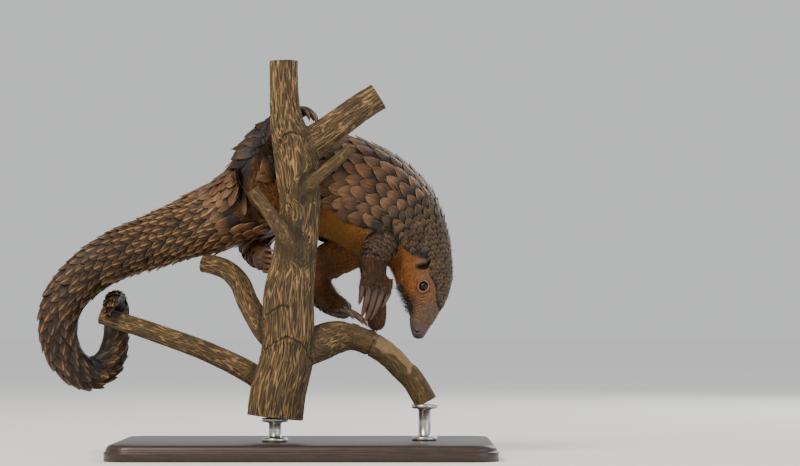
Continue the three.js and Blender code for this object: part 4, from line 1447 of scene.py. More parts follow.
        # Each scale's points: s runs across it from -1 to 1, t along it from root to tip, from 0 to 1
        s = np.linspace(-1, 1, wide_cells)[None, :, None]
        t = (np.linspace(0, 1, long_cells) ** 0.85)[None, None, :]
        outline = (0.6 + 0.4 * smooth(0, 0.35, t)) * np.clip((1 - t) / shape.taper, 0, 1) ** shape.point
        outline = np.maximum(outline, 0.05)
        blunt = draw.uniform(0.0, 0.08, count)[:, None, None]
        reach = t * (1 - blunt * (1 - s**2) * t**6) - 0.10 * np.abs(s) ** 1.6 * np.maximum(t - 0.55, 0)
        skew = draw.normal(0, shape.wobble, count)[:, None, None] * t**2
        wide = s * outline + skew
        bend, along_slope, across_slope = self._bed(axes, long, half, reach, wide)
        out = axes[3] - axes[1] * (along_slope / long)[..., None] - axes[2] * (across_slope / half)[..., None]
        out = unit(out)
        # Some scales stand open at the tip, a few of them widely
        flare = draw.gamma(2.0, 0.11, count)[:, None, None]
        lift = 0.1 + (rise * (1 + flare * t**3) - 0.1) * t**1.05
        crown = shape.crown * rise * (1 - s**2) * np.sin(math.pi * np.clip(t * 0.95, 0, 1) ** 0.8)
        keel = shape.keel * rise * bell(s, 0.16) * smooth(0.25, 0.7, t)
        lip = shape.lip * rise * np.maximum(np.abs(s) ** 4, t**8) * smooth(0.3, 0.6, t)
        thick = 0.22 * rise * (1 - 0.45 * np.abs(s) ** 3) * (1 - 0.4 * smooth(0.75, 1, t))
        top = (axes[0] + axes[1] * (long * reach)[..., None] + axes[2] * (half * wide)[..., None]
               + axes[3] * bend[..., None] + out * (lift + crown + keel + lip)[..., None])
        edges = [0, wide_cells - 1]
        low = top[:, edges] - out[:, edges] * thick[:, edges][..., None]
        points = np.concatenate([top.reshape(count, -1, 3), low.reshape(count, -1, 3)], axis=1)
        faces = repeat_faces(self._shield_faces(wide_cells, long_cells), points.shape[1], count)
        values, chart = self._shield_values(rows, keep, s, t, long, half, outline, draw)
        return Piece(name, points.reshape(-1, 3), faces, values, chart)

    def _bed(self, axes: Sequence[Array], long: Array, half: Array, reach: Array,
             wide: Array) -> tuple[Array, ...]:
        """Return how far stiff scales bend out of their root's plane to lie along the skin.

        Args:
            axes: Each scale's root, its way along, its way across and its way out.
            long: Its length.
            half: Its half width.
            reach: Share of its length at each of its points.
            wide: Share of its half width at each of its points.

        Returns:
            The bend at each point, and how steep it is along and across.
        """
        def curve(x: Array, y: Array) -> list[Array]:
            """Return the terms of a surface curved once each way."""
            return [x, x * x, y, y * y, x * y]

        grid = np.meshgrid(np.linspace(0.1, 1, 6), np.linspace(-0.9, 0.9, 5), indexing="ij")
        x, y = (v.ravel() for v in grid)
        base, lie, side, normal = (v[:, 0] for v in axes)
        flat = base + lie * (long[:, 0] * x)[..., None] + side * (half[:, 0] * y)[..., None]
        ground, _ = self.skin.nearest(flat.reshape(-1, 3))
        drop = dot(ground.reshape(flat.shape) - flat, normal)
        drop = np.clip(drop, -0.5 * long[:, 0] * x, 0.3 * long[:, 0] * x + 1)
        shares = drop @ np.linalg.pinv(np.stack(curve(x, y)))
        a, b, c, d, e = (shares[:, k][:, None, None] for k in range(5))
        bend = sum(share * term for share, term in zip((a, b, c, d, e), curve(reach, wide)))
        return bend, a + 2 * b * reach + e * wide, c + 2 * d * wide + e * reach

    @staticmethod
    def _shield_faces(wide: int, long: int) -> list[list[int]]:
        """Return the faces of one scale: a grid on top, thin sides and a plain underside."""
        top = grid_faces(wide, long, wrap=False)[:, ::-1].tolist()
        low = wide * long
        right = low + long
        faces = top
        for i in range(long - 1):
            far = (wide - 1) * long + i
            faces.append([i, i + 1, low + i + 1, low + i])
            faces.append([far + 1, far, right + i, right + i + 1])
            faces.append([low + i, low + i + 1, right + i + 1, right + i])
        faces.append([j * long for j in range(wide)] + [right, low])
        faces.append([j * long + long - 1 for j in range(wide)][::-1] + [low + long - 1, right + long - 1])
        return faces

    @staticmethod
    def _shield_values(rows: Rows, keep: Array, s: Array, t: Array, long: Array, half: Array, outline: Array,
                       draw: np.random.Generator) -> tuple[dict[str, Array], Array]:
        """Return what the finish reads on each point, and the map."""
        count, shape = len(half), (len(half), s.shape[1], t.shape[2])
        # Painted shade: the scales grow darker down the rump and tail, carried in their tone
        painted_tail_shade = (0.15 * smooth(300, 330, rows.spots.along) + 0.6 * smooth(340, 460, rows.spots.along))[keep]
        inside = np.minimum(half * outline * (1 - np.abs(s)), long * (1 - t))
        values = {"across": s * half * np.maximum(outline, 0.35), "along": t, "edge": np.exp(-inside / 1.1),
                  "tone": (draw.uniform(0, 1, count) - painted_tail_shade)[:, None, None]}
        sides = [0, s.shape[1] - 1]
        for name, value in values.items():
            full = np.broadcast_to(value, shape)
            both = [full.reshape(count, -1), full[:, sides].reshape(count, -1)]
            values[name] = np.concatenate(both, axis=1).ravel()
        patch = np.stack([np.broadcast_to(t - 0.5, shape), np.broadcast_to(s / 2, shape)], axis=-1)
        patch = np.concatenate([patch.reshape(count, -1, 2), patch[:, sides].reshape(count, -1, 2)], axis=1)
        chart = rows.spots.pick(keep).chart()[:, None] + patch * Spots.patch
        return values, chart.reshape(-1, 2)

    def place(self) -> None:
        """Make all the scales, in pieces small enough for the export."""
        body = self.rows_on_body()
        angle, (back, rump) = body.spots.angle, self.trunk
        along = body.spots.along + self.ragged[0] * self.skin.noise(body.root, self.ragged[1])
        cuts = (("head", 0, 84, True, SMALL_SHIELD, HEAD_SCALES, 20),
                ("neck", 84, back, True, NECK_SHIELD, HEAD_SCALES, 21),
                ("rump", rump, 420, True, TAIL_SHIELD, TAIL_SCALES, 22),
                ("tail_middle", 420, 560, True, TAIL_SHIELD, TAIL_SCALES, 23),
                ("tail_end", 560, 800, True, TAIL_SHIELD, TAIL_SCALES, 24),
                ("back_right", back, rump, angle < 0, BACK_SHIELD, BODY_SCALES, 31),
                ("back_left", back, rump, angle >= 0, BACK_SHIELD, BODY_SCALES, 32))
        for name, start, end, side, shape, finish, seed in cuts:
            keep = (along >= start) & (along < end) & side
            self.shields(f"scales_{name}", body, keep, shape, seed).place(finish, "scales")
        for number, limb in enumerate(self.skin.limbs, 1):
            rows = self.rows_on_leg(number)
            shape = THIGH_SHIELD if limb.lie is not None else LEG_SHIELD
            every = np.ones(len(rows.long), bool)
            scales = self.shields(f"scales_{limb.name}", rows, every, shape, 40 + number)
            scales.place(LEG_SCALES, "limb_scales")


@dataclass(frozen=True)
class Lock:
    """The shape of one kind of lock of hair."""

    width: float  # at the root
    lift: float  # how far the tip stands off, against its length
    swirl: float = 0.4  # how far the lie turns about, in radians
    stray: float = 0.22  # how far single locks stray from it
    rings: tuple[float, ...] = (0.0, 0.5, 1.0)
    hang: float = 0.0  # how far it hangs down in place of lying along the skin


BELLY_LOCK = Lock(0.5, 0.17, 0.95, rings=(0.0, 0.3, 0.66, 1.0))
CHEEK_LOCK = Lock(0.36, 0.2, 0.5)
LEG_LOCK = Lock(0.46, 0.13)
CHIN_LOCK = Lock(0.42, 0.9, 0.3)
FACE_LOCK = Lock(0.22, 0.3, 0.3)
STRAY_LOCK = Lock(0.38, 0.36, rings=(0.0, 0.3, 0.66, 1.0))
HANGING_LOCK = Lock(0.42, 0.22, stray=0.3, rings=(0.0, 0.3, 0.66, 1.0), hang=0.9)
RIM_LOCK = Lock(0.3, 0.5, 0.3, 0.3)
FRINGE_LOCK = Lock(0.45, 0.3, stray=0.4, rings=(0.0, 0.3, 0.66, 1.0), hang=0.8)


@dataclass
class Coat:
    """Hair: thin tapered locks rooted on the skin, lying along the body and the legs."""

    skin: Skin
    # Lengths of the hair and of the single bristles between scales, by distance from the nose
    hair_long: Table = ((0, 1.2), (45, 2.2), (75, 3.4), (100, 6.5), (150, 9.0), (300, 9.0), (736, 7))
    stray_long: Table = ((84, 6), (140, 14), (330, 16), (736, 8))
    spacing: float = 0.85  # mean distance between roots on the belly
    sink: float = 0.5  # how deep the roots are set
    thigh_fringe: Row = (-42, -16, 298, 12)  # middle and reach of the pale bristles behind the near thigh

    def roots(self, weight: Array, spacing: float, seed: int) -> tuple[Array, Array, Spots]:
        """Return random roots on the skin, as thick as a weight on its points allows.

        Args:
            weight: 0 to 1 for each point of the skin.
            spacing: Mean distance between roots where the weight is 1.
            seed: Seed of the draw.

        Returns:
            The roots, the directions outward there, and where they lie.
        """
        draw = np.random.default_rng(seed)
        corners = self.skin.triangles
        a, b, c = self.skin.points[corners.T]
        area = np.linalg.norm(np.cross(b - a, c - a), axis=1) / 2
        expected = area * weight[corners].mean(1) / spacing**2
        count = np.floor(expected + draw.uniform(0, 1, len(expected))).astype(int)
        face = np.repeat(np.arange(len(corners)), count)
        r1, r2 = np.sqrt(draw.uniform(0, 1, len(face))), draw.uniform(0, 1, len(face))
        shares = np.stack([1 - r1, r1 * (1 - r2), r1 * r2], axis=1)
        mine = corners[face]
        points = (self.skin.points[mine] * shares[..., None]).sum(1)
        normals = unit((self.skin.normals[mine] * shares[..., None]).sum(1))
        return points, normals, self.skin.spots.pick(mine[:, 0])

    def lie(self, spots: Spots, points: Array, swirl: float) -> Array:
        """Return the way the hair lies: towards tail or foot, turned by slow swirls."""
        direction = np.zeros((len(points), 3))
        for i, sweep in enumerate(self.skin.sweeps()):
            mine = spots.owner == i
            lean = (0.35 if i == 0 else 0.1) + swirl * self.skin.noise(points[mine] + 9, 26.0)
            lean = lean + 0.35 * swirl * self.skin.noise(points[mine], 9.0)
            direction[mine] = sweep.lie(spots.along[mine], spots.angle[mine], lean)
        return direction

    def locks(self, name: str, roots: tuple, long: Array, lock: Lock, seed: int) -> Piece:
        """Return locks of hair as one joined mesh.

        Args:
            name: The piece's name.
            roots: What roots() returned.
            long: Length of each.
            lock: Their shape.
            seed: Seed of their small differences.

        Returns:
            The piece, with its map and the values its finish reads.
        """
        points, normals, spots = roots
        count, draw = len(points), np.random.default_rng(seed)
        lie = self.lie(spots, points, lock.swirl)
        if lock.hang:
            lie = mix(lie, np.array((-0.1, 0, -1.0)), lock.hang)
        lie, side = lay(lie, normals, draw.normal(0, lock.stray, count)[:, None])
        long = (long * draw.uniform(0.7, 1.15, count))[:, None]
        up = lock.lift * draw.uniform(0.6, 1.5, count)[:, None]
        curl = draw.normal(0, 0.12, count)[:, None]
        rings = []
        for t in lock.rings:
            middle = (points - normals * self.sink + lie * long * t * (1 - 0.08 * t)
                      + normals * (long * up * (1.5 * t - 0.5 * t * t) + self.sink * min(t * 3, 1))
                      + side * long * curl * t * t)
            wide = lock.width * (1 - t) ** 0.6 * (0.8 + 0.2 * math.sin(math.pi * t)) / 2
            if t == 1.0:
                rings.append(middle[:, None])
            else:
                corners = (middle - side * wide, middle + side * wide, middle + normals * wide * 0.9)
                rings.append(np.stack(corners, axis=1))
        grid = np.concatenate(rings, axis=1)
        step, tip = grid.shape[1], grid.shape[1] - 1
        faces = [[0, 1, 2]]
        for ring in range(0, tip - 3, 3):
            faces += [[ring + k, ring + 3 + k, ring + 3 + (k + 1) % 3, ring + (k + 1) % 3] for k in range(3)]
        faces += [[tip - 3 + k, tip, tip - 3 + (k + 1) % 3] for k in range(3)]
        run = np.repeat(lock.rings, [3] * (len(lock.rings) - 1) + [1])
        clump = 0.5 + 0.32 * self.skin.noise(points, 5.0) + 0.2 * self.skin.noise(points + 40, 16.0)
        # Painted shade: locks towards the groin and on the legs are darkened
        clump = clump + draw.normal(0, 0.16, count) - self.skin.dark(spots)
        local = np.stack([run - 0.5, np.append(np.tile([-0.5, 0.5, 0.0], len(lock.rings) - 1), 0.0)], axis=1)
        chart = spots.chart()[:, None] + local[None] * Spots.patch
        values = {"tip": np.tile(run, count), "tone": np.repeat(np.clip(clump, -0.5, 1), step)}
        all_faces = repeat_faces(faces, step, count)
        return Piece(name, grid.reshape(-1, 3), all_faces, values, chart.reshape(-1, 2))

    def grow(self, name: str, weight: Array, spacing: float, long: Table, lock: Lock, hair: Hair,
             seed: int) -> None:
        """Make one piece of hair.

        Args:
            name: The piece's name.
            weight: How thick it grows at each point of the skin, from 0 to 1.
            spacing: Mean distance between roots where the weight is 1.
            long: Its length, by distance from the nose or from the top of the leg.
            lock: The shape of its locks.
            hair: Its finish.
            seed: Seed of roots and locks.
        """
        roots = self.roots(weight, spacing, seed)
        self.locks(name, roots, read_table(long, roots[2].along), lock, seed).place(hair, "belly_fur")

    def place(self) -> None:
        """Make the hair of the belly, face and legs, and the bristles."""
        skin, spots = self.skin, self.skin.spots
        furred, on_body, off_back = skin.values["furred"], spots.owner == 0, np.abs(spots.angle)
        head = on_body & (spots.along < 112)
        for name, zone, seed in (("right", spots.angle < 0, 51), ("left", spots.angle >= 0, 52)):
            weight = furred * (on_body & ~head & zone)
            self.grow(f"hair_belly_{name}", weight, self.spacing, self.hair_long, BELLY_LOCK, BELLY_HAIR,
                      seed)
        self.grow("hair_cheeks", furred * head, 0.92, self.hair_long, CHEEK_LOCK, CHEEK_HAIR, 53)
        # Under the belly the hair hangs free
        under = on_body * smooth(2.4, 2.75, off_back) * smooth(135, 155, spots.along)
        under = furred * under * (1 - smooth(225, 250, spots.along))
        self.grow("hair_under_belly", under, 1.3, ((0, 12.0),), HANGING_LOCK, BELLY_HAIR, 58)
        for number, limb in enumerate(skin.limbs, 1):
            found = self.roots(furred * (spots.owner == number), 1.3, 53 + number)
            long = mix(6.5, 3.0, smooth(0.5, 0.85, found[2].along / limb.sweep.length))
            # The far foreleg keeps the belly's hair; the other legs take its darker copy, painted shade
            hair = BELLY_HAIR if number == 2 else LEG_HAIR_IN_PAINTED_SHADE
            self.locks(f"hair_{limb.name}", found, long, LEG_LOCK, 53 + number).place(hair, "belly_fur")
        self._bristles()

    def _bristles(self) -> None:
        """Make the stiff hairs of chin, throat and face, and the pale ones between the scales."""
        skin, spots = self.skin, self.skin.spots
        marks, along, on_body = skin.values, spots.along, spots.owner == 0
        chin = smooth(0.5, 1.0, marks["chin"])
        face = on_body * (along < 70) * (1 - marks["scaled"]) * (1 - marks["hollow"])
        face = face * (1 - marks["lid"]) * smooth(16, 20, along)
        between = marks["scaled"] * (along > 84) * (on_body | (spots.owner == 3))
        throat = on_body * bell(along - 80, 13.0) * smooth(122, 150, np.abs(np.degrees(spots.angle)))
        upward = smooth(0.3, 0.8, skin.normals @ unit(np.array((0.7, -0.25, 0.6))))
        share, (*middle, reach) = spots.share(), self.thigh_fringe
        arm = (spots.owner == 2) * smooth(0.2, 0.3, share) * (1 - smooth(0.7, 0.85, share)) * upward
        thigh = bell(np.linalg.norm(skin.points - np.array(middle), axis=1), reach)
        for name, weight, spacing, long, lock, hair, seed in (
                ("bristles_chin", chin, 1.1, ((0, 5.6),), CHIN_LOCK, CHIN_BRISTLES, 61),
                ("bristles_face", face, 2.2, ((0, 1.9),), FACE_LOCK, BRISTLES, 62),
                ("bristles_between_scales", between, 11.0, self.stray_long, STRAY_LOCK, BRISTLES, 63),
                ("hair_throat", throat, 1.1, ((0, 15.0),), HANGING_LOCK, CHEEK_HAIR, 64),
                ("bristles_far_arm", arm, 1.5, ((0, 6.0),), RIM_LOCK, BRISTLES, 66),
                ("bristles_thigh", thigh, 3.4, ((0, 19.0),), FRINGE_LOCK, BRISTLES, 65)):
            self.grow(name, weight, spacing, long, lock, hair, seed)


@dataclass
class Eye:
    """An eyeball with a slightly domed cornea, set in its socket."""

    skin: Skin
    side: Side
    radius: float = 5.4
    sunk: float = 3.5
    domed: float = 0.035  # how far the cornea stands out, against the radius
    rim: float = 0.98  # radians from the pole to the rim that the lids cover
    rings: int = 28
    sides: int = 48

    def place(self) -> None:
        """Make the eyeball, its pole towards where it looks."""
        sweep = self.skin.body.sweep
        along, turn = self.skin.eye[0], math.radians(self.skin.eye[1]) * self.side.value
        out, ahead = sweep.outward(along, turn), sweep.frame(along)[1]
        centre = sweep.point(along, turn) - out * self.sunk
        level = unit(ahead - out * ahead.dot(out))
        across = np.cross(out, level)
        polar = np.linspace(0.02, math.pi - 0.02, self.rings)
        dome = 1 + self.domed * (1 - smooth(0.25, 0.95, polar))
        p, c = np.meshgrid(polar, turns(self.sides), indexing="ij")
        r = (self.radius * dome)[:, None, None]
        points = centre + r * (out * np.cos(p)[..., None] + np.sin(p)[..., None]
                               * (level * np.cos(c)[..., None] + across * np.sin(c)[..., None]))
        name, faces = self.side.name.lower(), tube_faces(self.rings, self.sides)
        values = {"rim": np.clip(p / self.rim, 0, 1).ravel()}
        Piece(f"eyeball_{name}", points.reshape(-1, 3), faces, values).place(EYE, "eye", [f"eye_{name}"])


@dataclass
class Horns:
    """The claws of one foot, each a ribbed horn with a rounded back and a hollow underside."""

    limb: Limb
    sides: int = 20
    rings: int = 26
    rib: float = 0.05
    swell: float = 0.45  # the sides bulge this far past the plain sweep

    def place(self) -> None:
        """Make the five claws."""
        for i in range(len(self.limb.claws.longs)):
            node = f"claw_{self.limb.name}_{i + 1}"
            self._horn(i).place(CLAW, "claw_horn", [node])

    def _horn(self, i: int) -> Piece:
        """Return one claw."""
        line = self.limb.claws.line(i)
        along = np.linspace(0.4, line.length - 0.2, self.rings)
        a, t = np.meshgrid(along, turns(self.sides), indexing="ij")
        share = a / line.length
        belly = smooth(0.35, 1.0, -np.cos(t))
        size = 1 - 0.42 * belly * (1 - 0.3 * share) + self.rib * np.cos(t * 6) * (1 - belly) * (1 - share)
        size *= 1 - 0.72 * smooth(0.82, 1.02, share) ** 2
        points = line.point(a, t, self.swell * np.abs(np.sin(t)) * (1 - share), size)
        # The claw's back, where its finish paints a highlight, falling to painted shade on the sides and
        # underside
        values = {"across": (np.sin(t) * 5).ravel(), "along": share.ravel(), "tone": np.full(a.size, i * 3.7),
                  "painted_ridge_light": smooth(-0.5, 0.8, np.cos(t)).ravel()}
        faces = tube_faces(self.rings, self.sides)
        return Piece(f"horn_{self.limb.name}_{i + 1}", points.reshape(-1, 3), faces, values)


# Perch and stand


@dataclass
class Perch:
    """A cut length of stem with six branches, barked, with torn and sawn places."""

    STEM: ClassVar[int] = 0
    LOWER: ClassVar[int] = 2
    stem: Sequence[Row] = (
        (-28, -41, 40, 28), (-25, -41, 64, 28), (-15.5, -41, 105, 26.5), (-15, -41, 158, 25.5),
        (-10, -41, 193, 22.5), (-4, -41, 243, 20.6), (-6, -41, 280, 21.8), (-9, -41, 305, 22),
        (-17, -41, 332, 17), (-19.5, -41, 362, 14.6), (-20, -41, 392, 14.4))
    branches: Mapping[str, Sequence[Row]] = field(default_factory=lambda: {
        "upper": ((-8, -41, 291, 15), (6, -41, 308, 17), (26, -41, 323.5, 15.4), (52, -41, 343, 14.4),
                  (74, -41, 357, 14)),
        "lower": ((-13, -41, 103, 20), (14, -28, 113, 18.6), (33, -17, 119, 16.8), (49, -11, 119, 13.8),
                  (67, -8, 112.5, 13.2), (84.5, -6, 101, 12.8), (98, -6, 87, 12.4), (109.5, -6, 74, 11.8),
                  (121, -6, 54, 11.8)),
        "side": ((-15, -41, 100, 13), (-39, -27, 126, 12), (-56, -10, 153, 11.2), (-66, 6, 174, 10.8),
                 (-81, 18, 187.5, 10.4), (-103, 27, 194, 10)),
        "tail": ((-17, -41, 58, 13.5), (-50, -31, 82, 11.5), (-95, -18, 104, 10.4), (-145, -6, 122, 9.7),
                 (-204, 6, 141, 9.2)),
        "near_right": ((-3, -49, 258, 9), (5, -57, 267.5, 8), (15, -61, 276.5, 6.6), (30, -62, 289.5, 6),
                       (48, -62, 305, 5.8)),
        "near_left": ((-5, -47, 197, 12), (-13, -57, 212, 10), (-24, -63, 228, 8), (-36, -65.5, 245, 7.2),
                      (-49, -67, 263.5, 6.8)),
    })
    voxel: float = 0.8
    blend: float = 1.6  # distance over which one branch's bark gives way to another's
    noise: Noise = field(default_factory=lambda: Noise(SEED + 1))
    # Distance between ridges, and how much longer than wide their meshes are: the stem, then its branches
    ridge_pitch: Row = (2.9, 2.6, 2.6, 2.0, 2.0, 1.8, 1.8)
    ridge_stretch: Row = (14.0, 10.0, 6.0, 9.0, 9.0, 7.0, 7.0)
    deep: Row = (0.8, 0.7, 0.65, 0.5, 0.5, 0.35, 0.35)
    young: Row = (0.0, 0.1, 0.4, 0.3, 0.3, 0.65, 0.65)  # how smooth and olive the bark still is
    # Old branch scars on the stem: distance up it, how far the line droops at its sides, and whether it
    # goes right across the near side
    scars: Sequence[tuple] = ((283, 0.05, True), (80, 0.03, True), (111, 0.02, False))
    # Grey healed patches on the stem: distance up it, degrees round it, half height and half width
    healed: Sequence[Row] = ((231, -66, 12, 8.0), (187, -86, 16, 4.5), (215, -78, 6, 3.0))
    # Torn stretches of the lower branch: start, end, and the degrees round it that they face
    torn: Sequence[Row] = ((60, 90, -60), (91, 138, 20))

    def place(self) -> None:
        """Fuse stem and branches, then raise the bark on them."""
        sweeps = [Sweep(self.stem, (1, 0, 0)), *(Sweep(rows, (0, 0, 1)) for rows in self.branches.values())]
        lofts = [s.loft(0, s.length, 40, 3.0, 0.0) for s in sweeps]
        shell = remesh(*join(lofts), self.voxel)
        points, triangles = read_all(shell.vertices, "co", float), triangles_of(shell)
        points = relax(points, read_all(shell.edges, "vertices"), 3, 0.5)
        faces = [list(p.vertices) for p in shell.polygons]
        bpy.data.meshes.remove(shell)
        normals = point_normals(points, triangles)
        found = [s.locate(points) for s in sweeps]
        outside = np.stack([f[2] for f in found])
        weight = np.exp(-(outside - outside.min(0)) / self.blend)
        weight /= weight.sum(0)
        layers = [self._bark(k, s, f, points) for k, (s, f) in enumerate(zip(sweeps, found))]
        values = {name: sum(layer[name] * weight[k] for k, layer in enumerate(layers)) for name in layers[0]}
        points = points + normals * values.pop("rise")[:, None]
        nodes = ["perch_stem", *(f"perch_branch_{name}" for name in self.branches)]
        Piece("perch", points, faces, values).place(BARK, "bark", nodes)

    def _bark(self, number: int, sweep: Sweep, found: Sequence[Array], points: Array) -> dict[str, Array]:
        """Return how far the bark rises at each point of a stem or branch, and its markings.

        Args:
            number: The number of the stem or branch.
            sweep: Its sweep.
            found: Where each point lies along it, round it and out of it.
            points: The points.

        Returns:
            One value a point for each name.
        """
        along, angle, outside = found
        noise, radius = self.noise, sweep.frame(along)[4][:, 0]
        pitch, deep = self.ridge_pitch[number], self.deep[number]
        wrap = np.stack([radius * np.cos(angle) + number * 40, radius * np.sin(angle),
                         along / self.ridge_stretch[number]], axis=1)
        sway = np.stack([noise(wrap + 7, 6.0), noise(wrap + 19, 6.0), np.zeros(len(angle))], axis=1)
        warped = wrap + 1.5 * sway
        # Ridges stand where the noise passes through zero, so they meet and part along the stem
        first = 1 - smooth(0.0, 0.4, np.abs(noise(warped, pitch)))
        second = 1 - smooth(0.0, 0.3, np.abs(noise(warped + 60, pitch * 0.8)))
        fine = noise(warped * (1, 1, 1.6), pitch * 0.5)
        height = np.maximum(first, 0.7 * second) * (0.85 + 0.3 * noise(points, 12.0)) + 0.12 * fine
        height = np.clip(height, 0, 1)
        rise = deep * (height - 0.85) + 0.8 * noise(points, 17.0) * (deep > 0.8) - 0.3
        marks = {name: np.zeros(len(points)) for name in ("callus", "crack", "bare")}
        young = np.full(len(points), self.young[number])
        near_end = sweep.length - along
        if number == self.STEM:
            rise = self._scar(along, angle, radius, points, rise, marks)
            near_end = np.minimum(near_end, along)
        if number == self.LOWER:
            rise = self._tear(along, angle, points, rise, fine, marks)
            young = mix(young, 0.85, smooth(52, 64, along))
        marks["cut"] = (1 - smooth(0.9, 1.5, near_end)) * (outside < -1.6)
        ring = radius + outside + 0.8 * noise(points, 9.0)
        rise = np.where(near_end < 1.6, 0.12 * fine, rise)
        places = {f"wrap_{axis}": wrap[:, k] for k, axis in enumerate("xyz")}
        return {"rise": rise, "height": height, "ring": ring, "young": young, **places, **marks}

    def _scar(self, along: Array, angle: Array, radius: Array, points: Array, rise: Array,
              marks: dict[str, Array]) -> Array:
        """Return the rise of the stem's bark with its old scars and healed patches, and mark them."""
        noise = self.noise
        for scar, droop, whole in self.scars:
            line = along - scar + droop * (radius * np.cos(angle)) ** 2 + 1.5 * noise(points, 5.0)
            seen = smooth(-0.2, 0.5, -np.sin(angle)) if whole else smooth(0.5, 0.9, -np.sin(angle + 0.7))
            rise += (1.0 * bell(line + 3.2, 2.2) - 1.5 * bell(line, 0.9)) * seen
            # The crack mark is where the bark's finish paints shade into the scar's groove
            marks["crack"] = np.maximum(marks["crack"], bell(line, 0.9) * seen)
        for up, turn, tall, wide in self.healed:
            across = radius * np.angle(np.exp(1j * (angle - math.radians(turn))))
            far = np.hypot((along - up) / tall, across / wide) + 0.25 * noise(points, 5.0)
            marks["callus"] = np.maximum(marks["callus"], 1 - smooth(0.75, 1.05, far))
            rise += 0.9 * bell(far - 1.15, 0.2)
        return mix(rise, -0.9 + 0.3 * noise(points, 3.0), marks["callus"])

    def _tear(self, along: Array, angle: Array, points: Array, rise: Array, fine: Array,
              marks: dict[str, Array]) -> Array:
        """Return the rise of the lower branch's bark with its torn stretches, and mark them."""
        noise = self.noise
        ragged = along + 4 * noise(points, 5.0)
        for start, end, turn in self.torn:
            facing = np.cos(angle - math.radians(turn)) + 0.45 * noise(points + 31, 10.0)
            stretch = smooth(start, start + 1.5, ragged) * (1 - smooth(end - 1.5, end, ragged))
            marks["bare"] = np.maximum(marks["bare"], stretch * smooth(0.2, 0.34, facing))
        edge = bell(marks["bare"] - 0.5, 0.3)
        rise = mix(rise, -1.6 + 0.3 * fine, marks["bare"]) + 0.7 * edge
        # The crack mark is where the bark's finish paints shade into the groove
        crack = bell(along - self.torn[0][1] - 1.5 - 2 * noise(points, 6.0), 1.2)
        marks["crack"] = np.maximum(marks["crack"], crack * smooth(-0.3, 0.2, -np.sin(angle)))
        return rise - 1.6 * crack


@dataclass
class Stand:
    """A flat board with rounded corners and a small moulding, and two turned rods."""

    size: Row = (380, 270, 16)
    corner: float = 26
    per_corner: int = 15  # points round each corner
    rod_radius: float = 6
    collar: float = 13
    collar_high: float = 4
    gap: float = 0.32  # between board, rods and perch
    rod_sides: int = 48
    tops: Sequence[Row] = ((-28, -41, 40 - 0.32), (119.5, -6, 52))  # middle of each rod, and its height
    # The board's edge: how far in from the outline, at what height
    moulding: Sequence[Row] = ((0.0, 0.0), (0.0, 8.6), (0.35, 9.2), (1.5, 9.6), (1.9, 10.2), (2.0, 11.4),
                               (2.5, 13.0), (3.5, 14.4), (5.0, 15.5), (6.6, 16.0))

    def place(self) -> None:
        """Make the board and the rods."""
        self._board().place(BOARD, "stand_wood", ["stand_base"])
        for i, top in enumerate(self.tops, 1):
            self._rod(i, top).place(STEEL, "stand_steel", [f"stand_rod_{i}"])

    def _outline(self, inset: float) -> Array:
        """Return the board's outline with round corners, drawn in by an inset."""
        radius = self.corner - inset
        far_x, far_y = self.size[0] / 2 - self.corner, self.size[1] / 2 - self.corner
        points = []
        for x, y, start in ((far_x, -far_y, -90), (far_x, far_y, 0), (-far_x, far_y, 90),
                            (-far_x, -far_y, 180)):
            for turn in np.radians(np.linspace(start, start + 90, self.per_corner)):
                points.append((x + radius * math.cos(turn), y + radius * math.sin(turn)))
        return np.array(points)

    def _board(self) -> Piece:
        """Return the board."""
        sides = 4 * self.per_corner
        rings = [np.column_stack([self._outline(inset), np.full(sides, high)])
                 for inset, high in self.moulding]
        return Piece("stand_board", np.concatenate(rings), tube_faces(len(rings), sides))

    def _rod(self, number: int, top: Row) -> Piece:
        """Return a rod with a rounded collar at its foot and its head."""
        x, y, high = top
        foot = self.size[2] + self.gap
        c, r, h = self.collar, self.rod_radius, self.collar_high
        lower = [(c - 0.5, 0), (c, 0.5), (c, h - 1.2), (c - 0.8, h - 0.2), (c - 2.2, h), (r + 1.4, h + 0.3),
                 (r, h + 1.6)]
        profile = [(radius, foot + z) for radius, z in lower]
        profile += [(radius, high - z) for radius, z in reversed(lower)]
        points = np.array([(x + radius * math.cos(t), y + radius * math.sin(t), z)
                           for radius, z in profile for t in turns(self.rod_sides)])
        return Piece(f"stand_turned_rod_{number}", points, tube_faces(len(profile), self.rod_sides))


# Studio


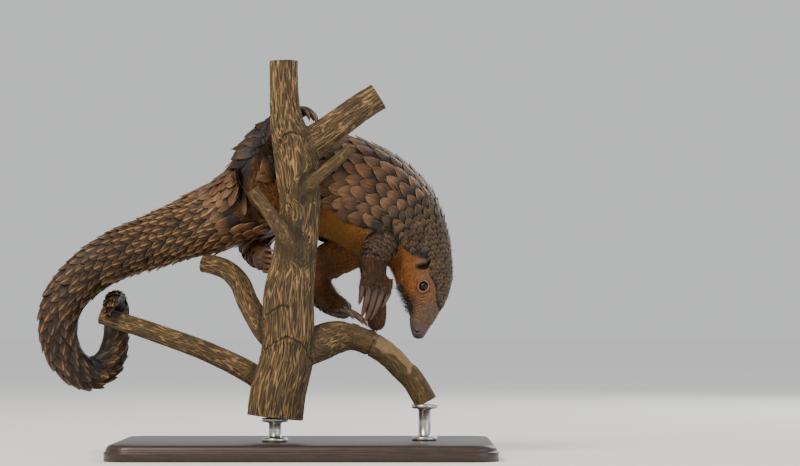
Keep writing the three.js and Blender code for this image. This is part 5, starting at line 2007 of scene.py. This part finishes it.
@dataclass
class Studio:
    """A pale floor, soft light and the camera. Places and sizes are metres here."""

    floor_radius: float = 30.0
    camera_at: Row = (0.095, -2.9985, 0.1288)
    camera_pitch: float = 91.8
    lens: float = 135.0
    sensor: float = 36.0
    clip: tuple[float, float] = (0.1, 100.0)
    sky: str = "#f2f3f5"
    sky_strength: float = 0.75
    lights: Sequence[tuple] = (
        # name, place, aim, size, power, colour
        ("key", (-1.2, -2.0, 2.1), (0.0, 0.0, 0.2), 1.1, 84, "#ffeed6"),
        ("fill", (2.2, -1.7, 0.8), (0.0, 0.0, 0.2), 1.8, 18, "#e8f0ff"),
        ("rim", (1.4, 1.8, 1.3), (0.0, 0.0, 0.2), 1.4, 26, "#ffffff"),
    )

    def place(self) -> None:
        """Make floor, lights, world and camera."""
        mesh = bpy.data.meshes.new("floor")
        rim = [(self.floor_radius * math.cos(t), self.floor_radius * math.sin(t), 0.0) for t in turns(64)]
        mesh.from_pydata(rim, [], [list(range(len(rim)))])
        mesh.materials.append(PAPER.material())
        floor = bpy.data.objects.new("floor", mesh)
        bpy.context.scene.collection.objects.link(floor)
        for name, at, aim, size, power, colour in self.lights:
            self._light(name, at, aim, size, power, colour)
        world = bpy.data.worlds.new("studio")
        world.use_nodes = True
        wire(world.node_tree.nodes["Background"], {"Color": self.sky, "Strength": self.sky_strength})
        bpy.context.scene.world = world
        self._camera()

    def _light(self, name: str, at: Row, aim: Row, size: float, power: float, colour: str) -> None:
        """Make one soft square light."""
        data = bpy.data.lights.new(name, "AREA")
        data.size, data.energy, data.color = size, power, linear(colour)[:3]
        light = bpy.data.objects.new(name, data)
        light.location = at
        backward = unit(np.array(at) - np.array(aim))
        pitch = math.acos(backward[2])
        light.rotation_euler = (pitch, 0, math.atan2(backward[1], backward[0]) + math.pi / 2)
        bpy.context.scene.collection.objects.link(light)

    def _camera(self) -> None:
        """Make the camera, at the photograph's viewing angle."""
        data = bpy.data.cameras.new("camera")
        data.lens, data.sensor_width, data.clip_start, data.clip_end = self.lens, self.sensor, *self.clip
        camera = bpy.data.objects.new("camera", data)
        camera.location = self.camera_at
        camera.rotation_euler = (math.radians(self.camera_pitch), 0, 0)
        bpy.context.scene.collection.objects.link(camera)
        bpy.context.scene.camera = camera


def main() -> None:
    """Build the animal, its perch, the stand and the studio."""
    logging.basicConfig(level=logging.INFO, format="%(name)s %(message)s")
    Studio().place()
    body = Body()
    skin = Skin(body, LIMBS)
    flesh = ["head", "neck", "trunk_chest", "trunk_loin", *(f"tail_{i}" for i in range(1, 6)), "ear_left",
             "ear_right", *(node for limb in LIMBS for node in limb.nodes())]
    skin.piece().place(SKIN, "bare_skin", flesh)
    for side in Side:
        Eye(skin, side).place()
    ScaleCoat(skin).place()
    Coat(skin).place()
    for limb in LIMBS:
        Horns(limb).place()
    Perch().place()
    Stand().place()


if __name__ == "__main__":
    main()
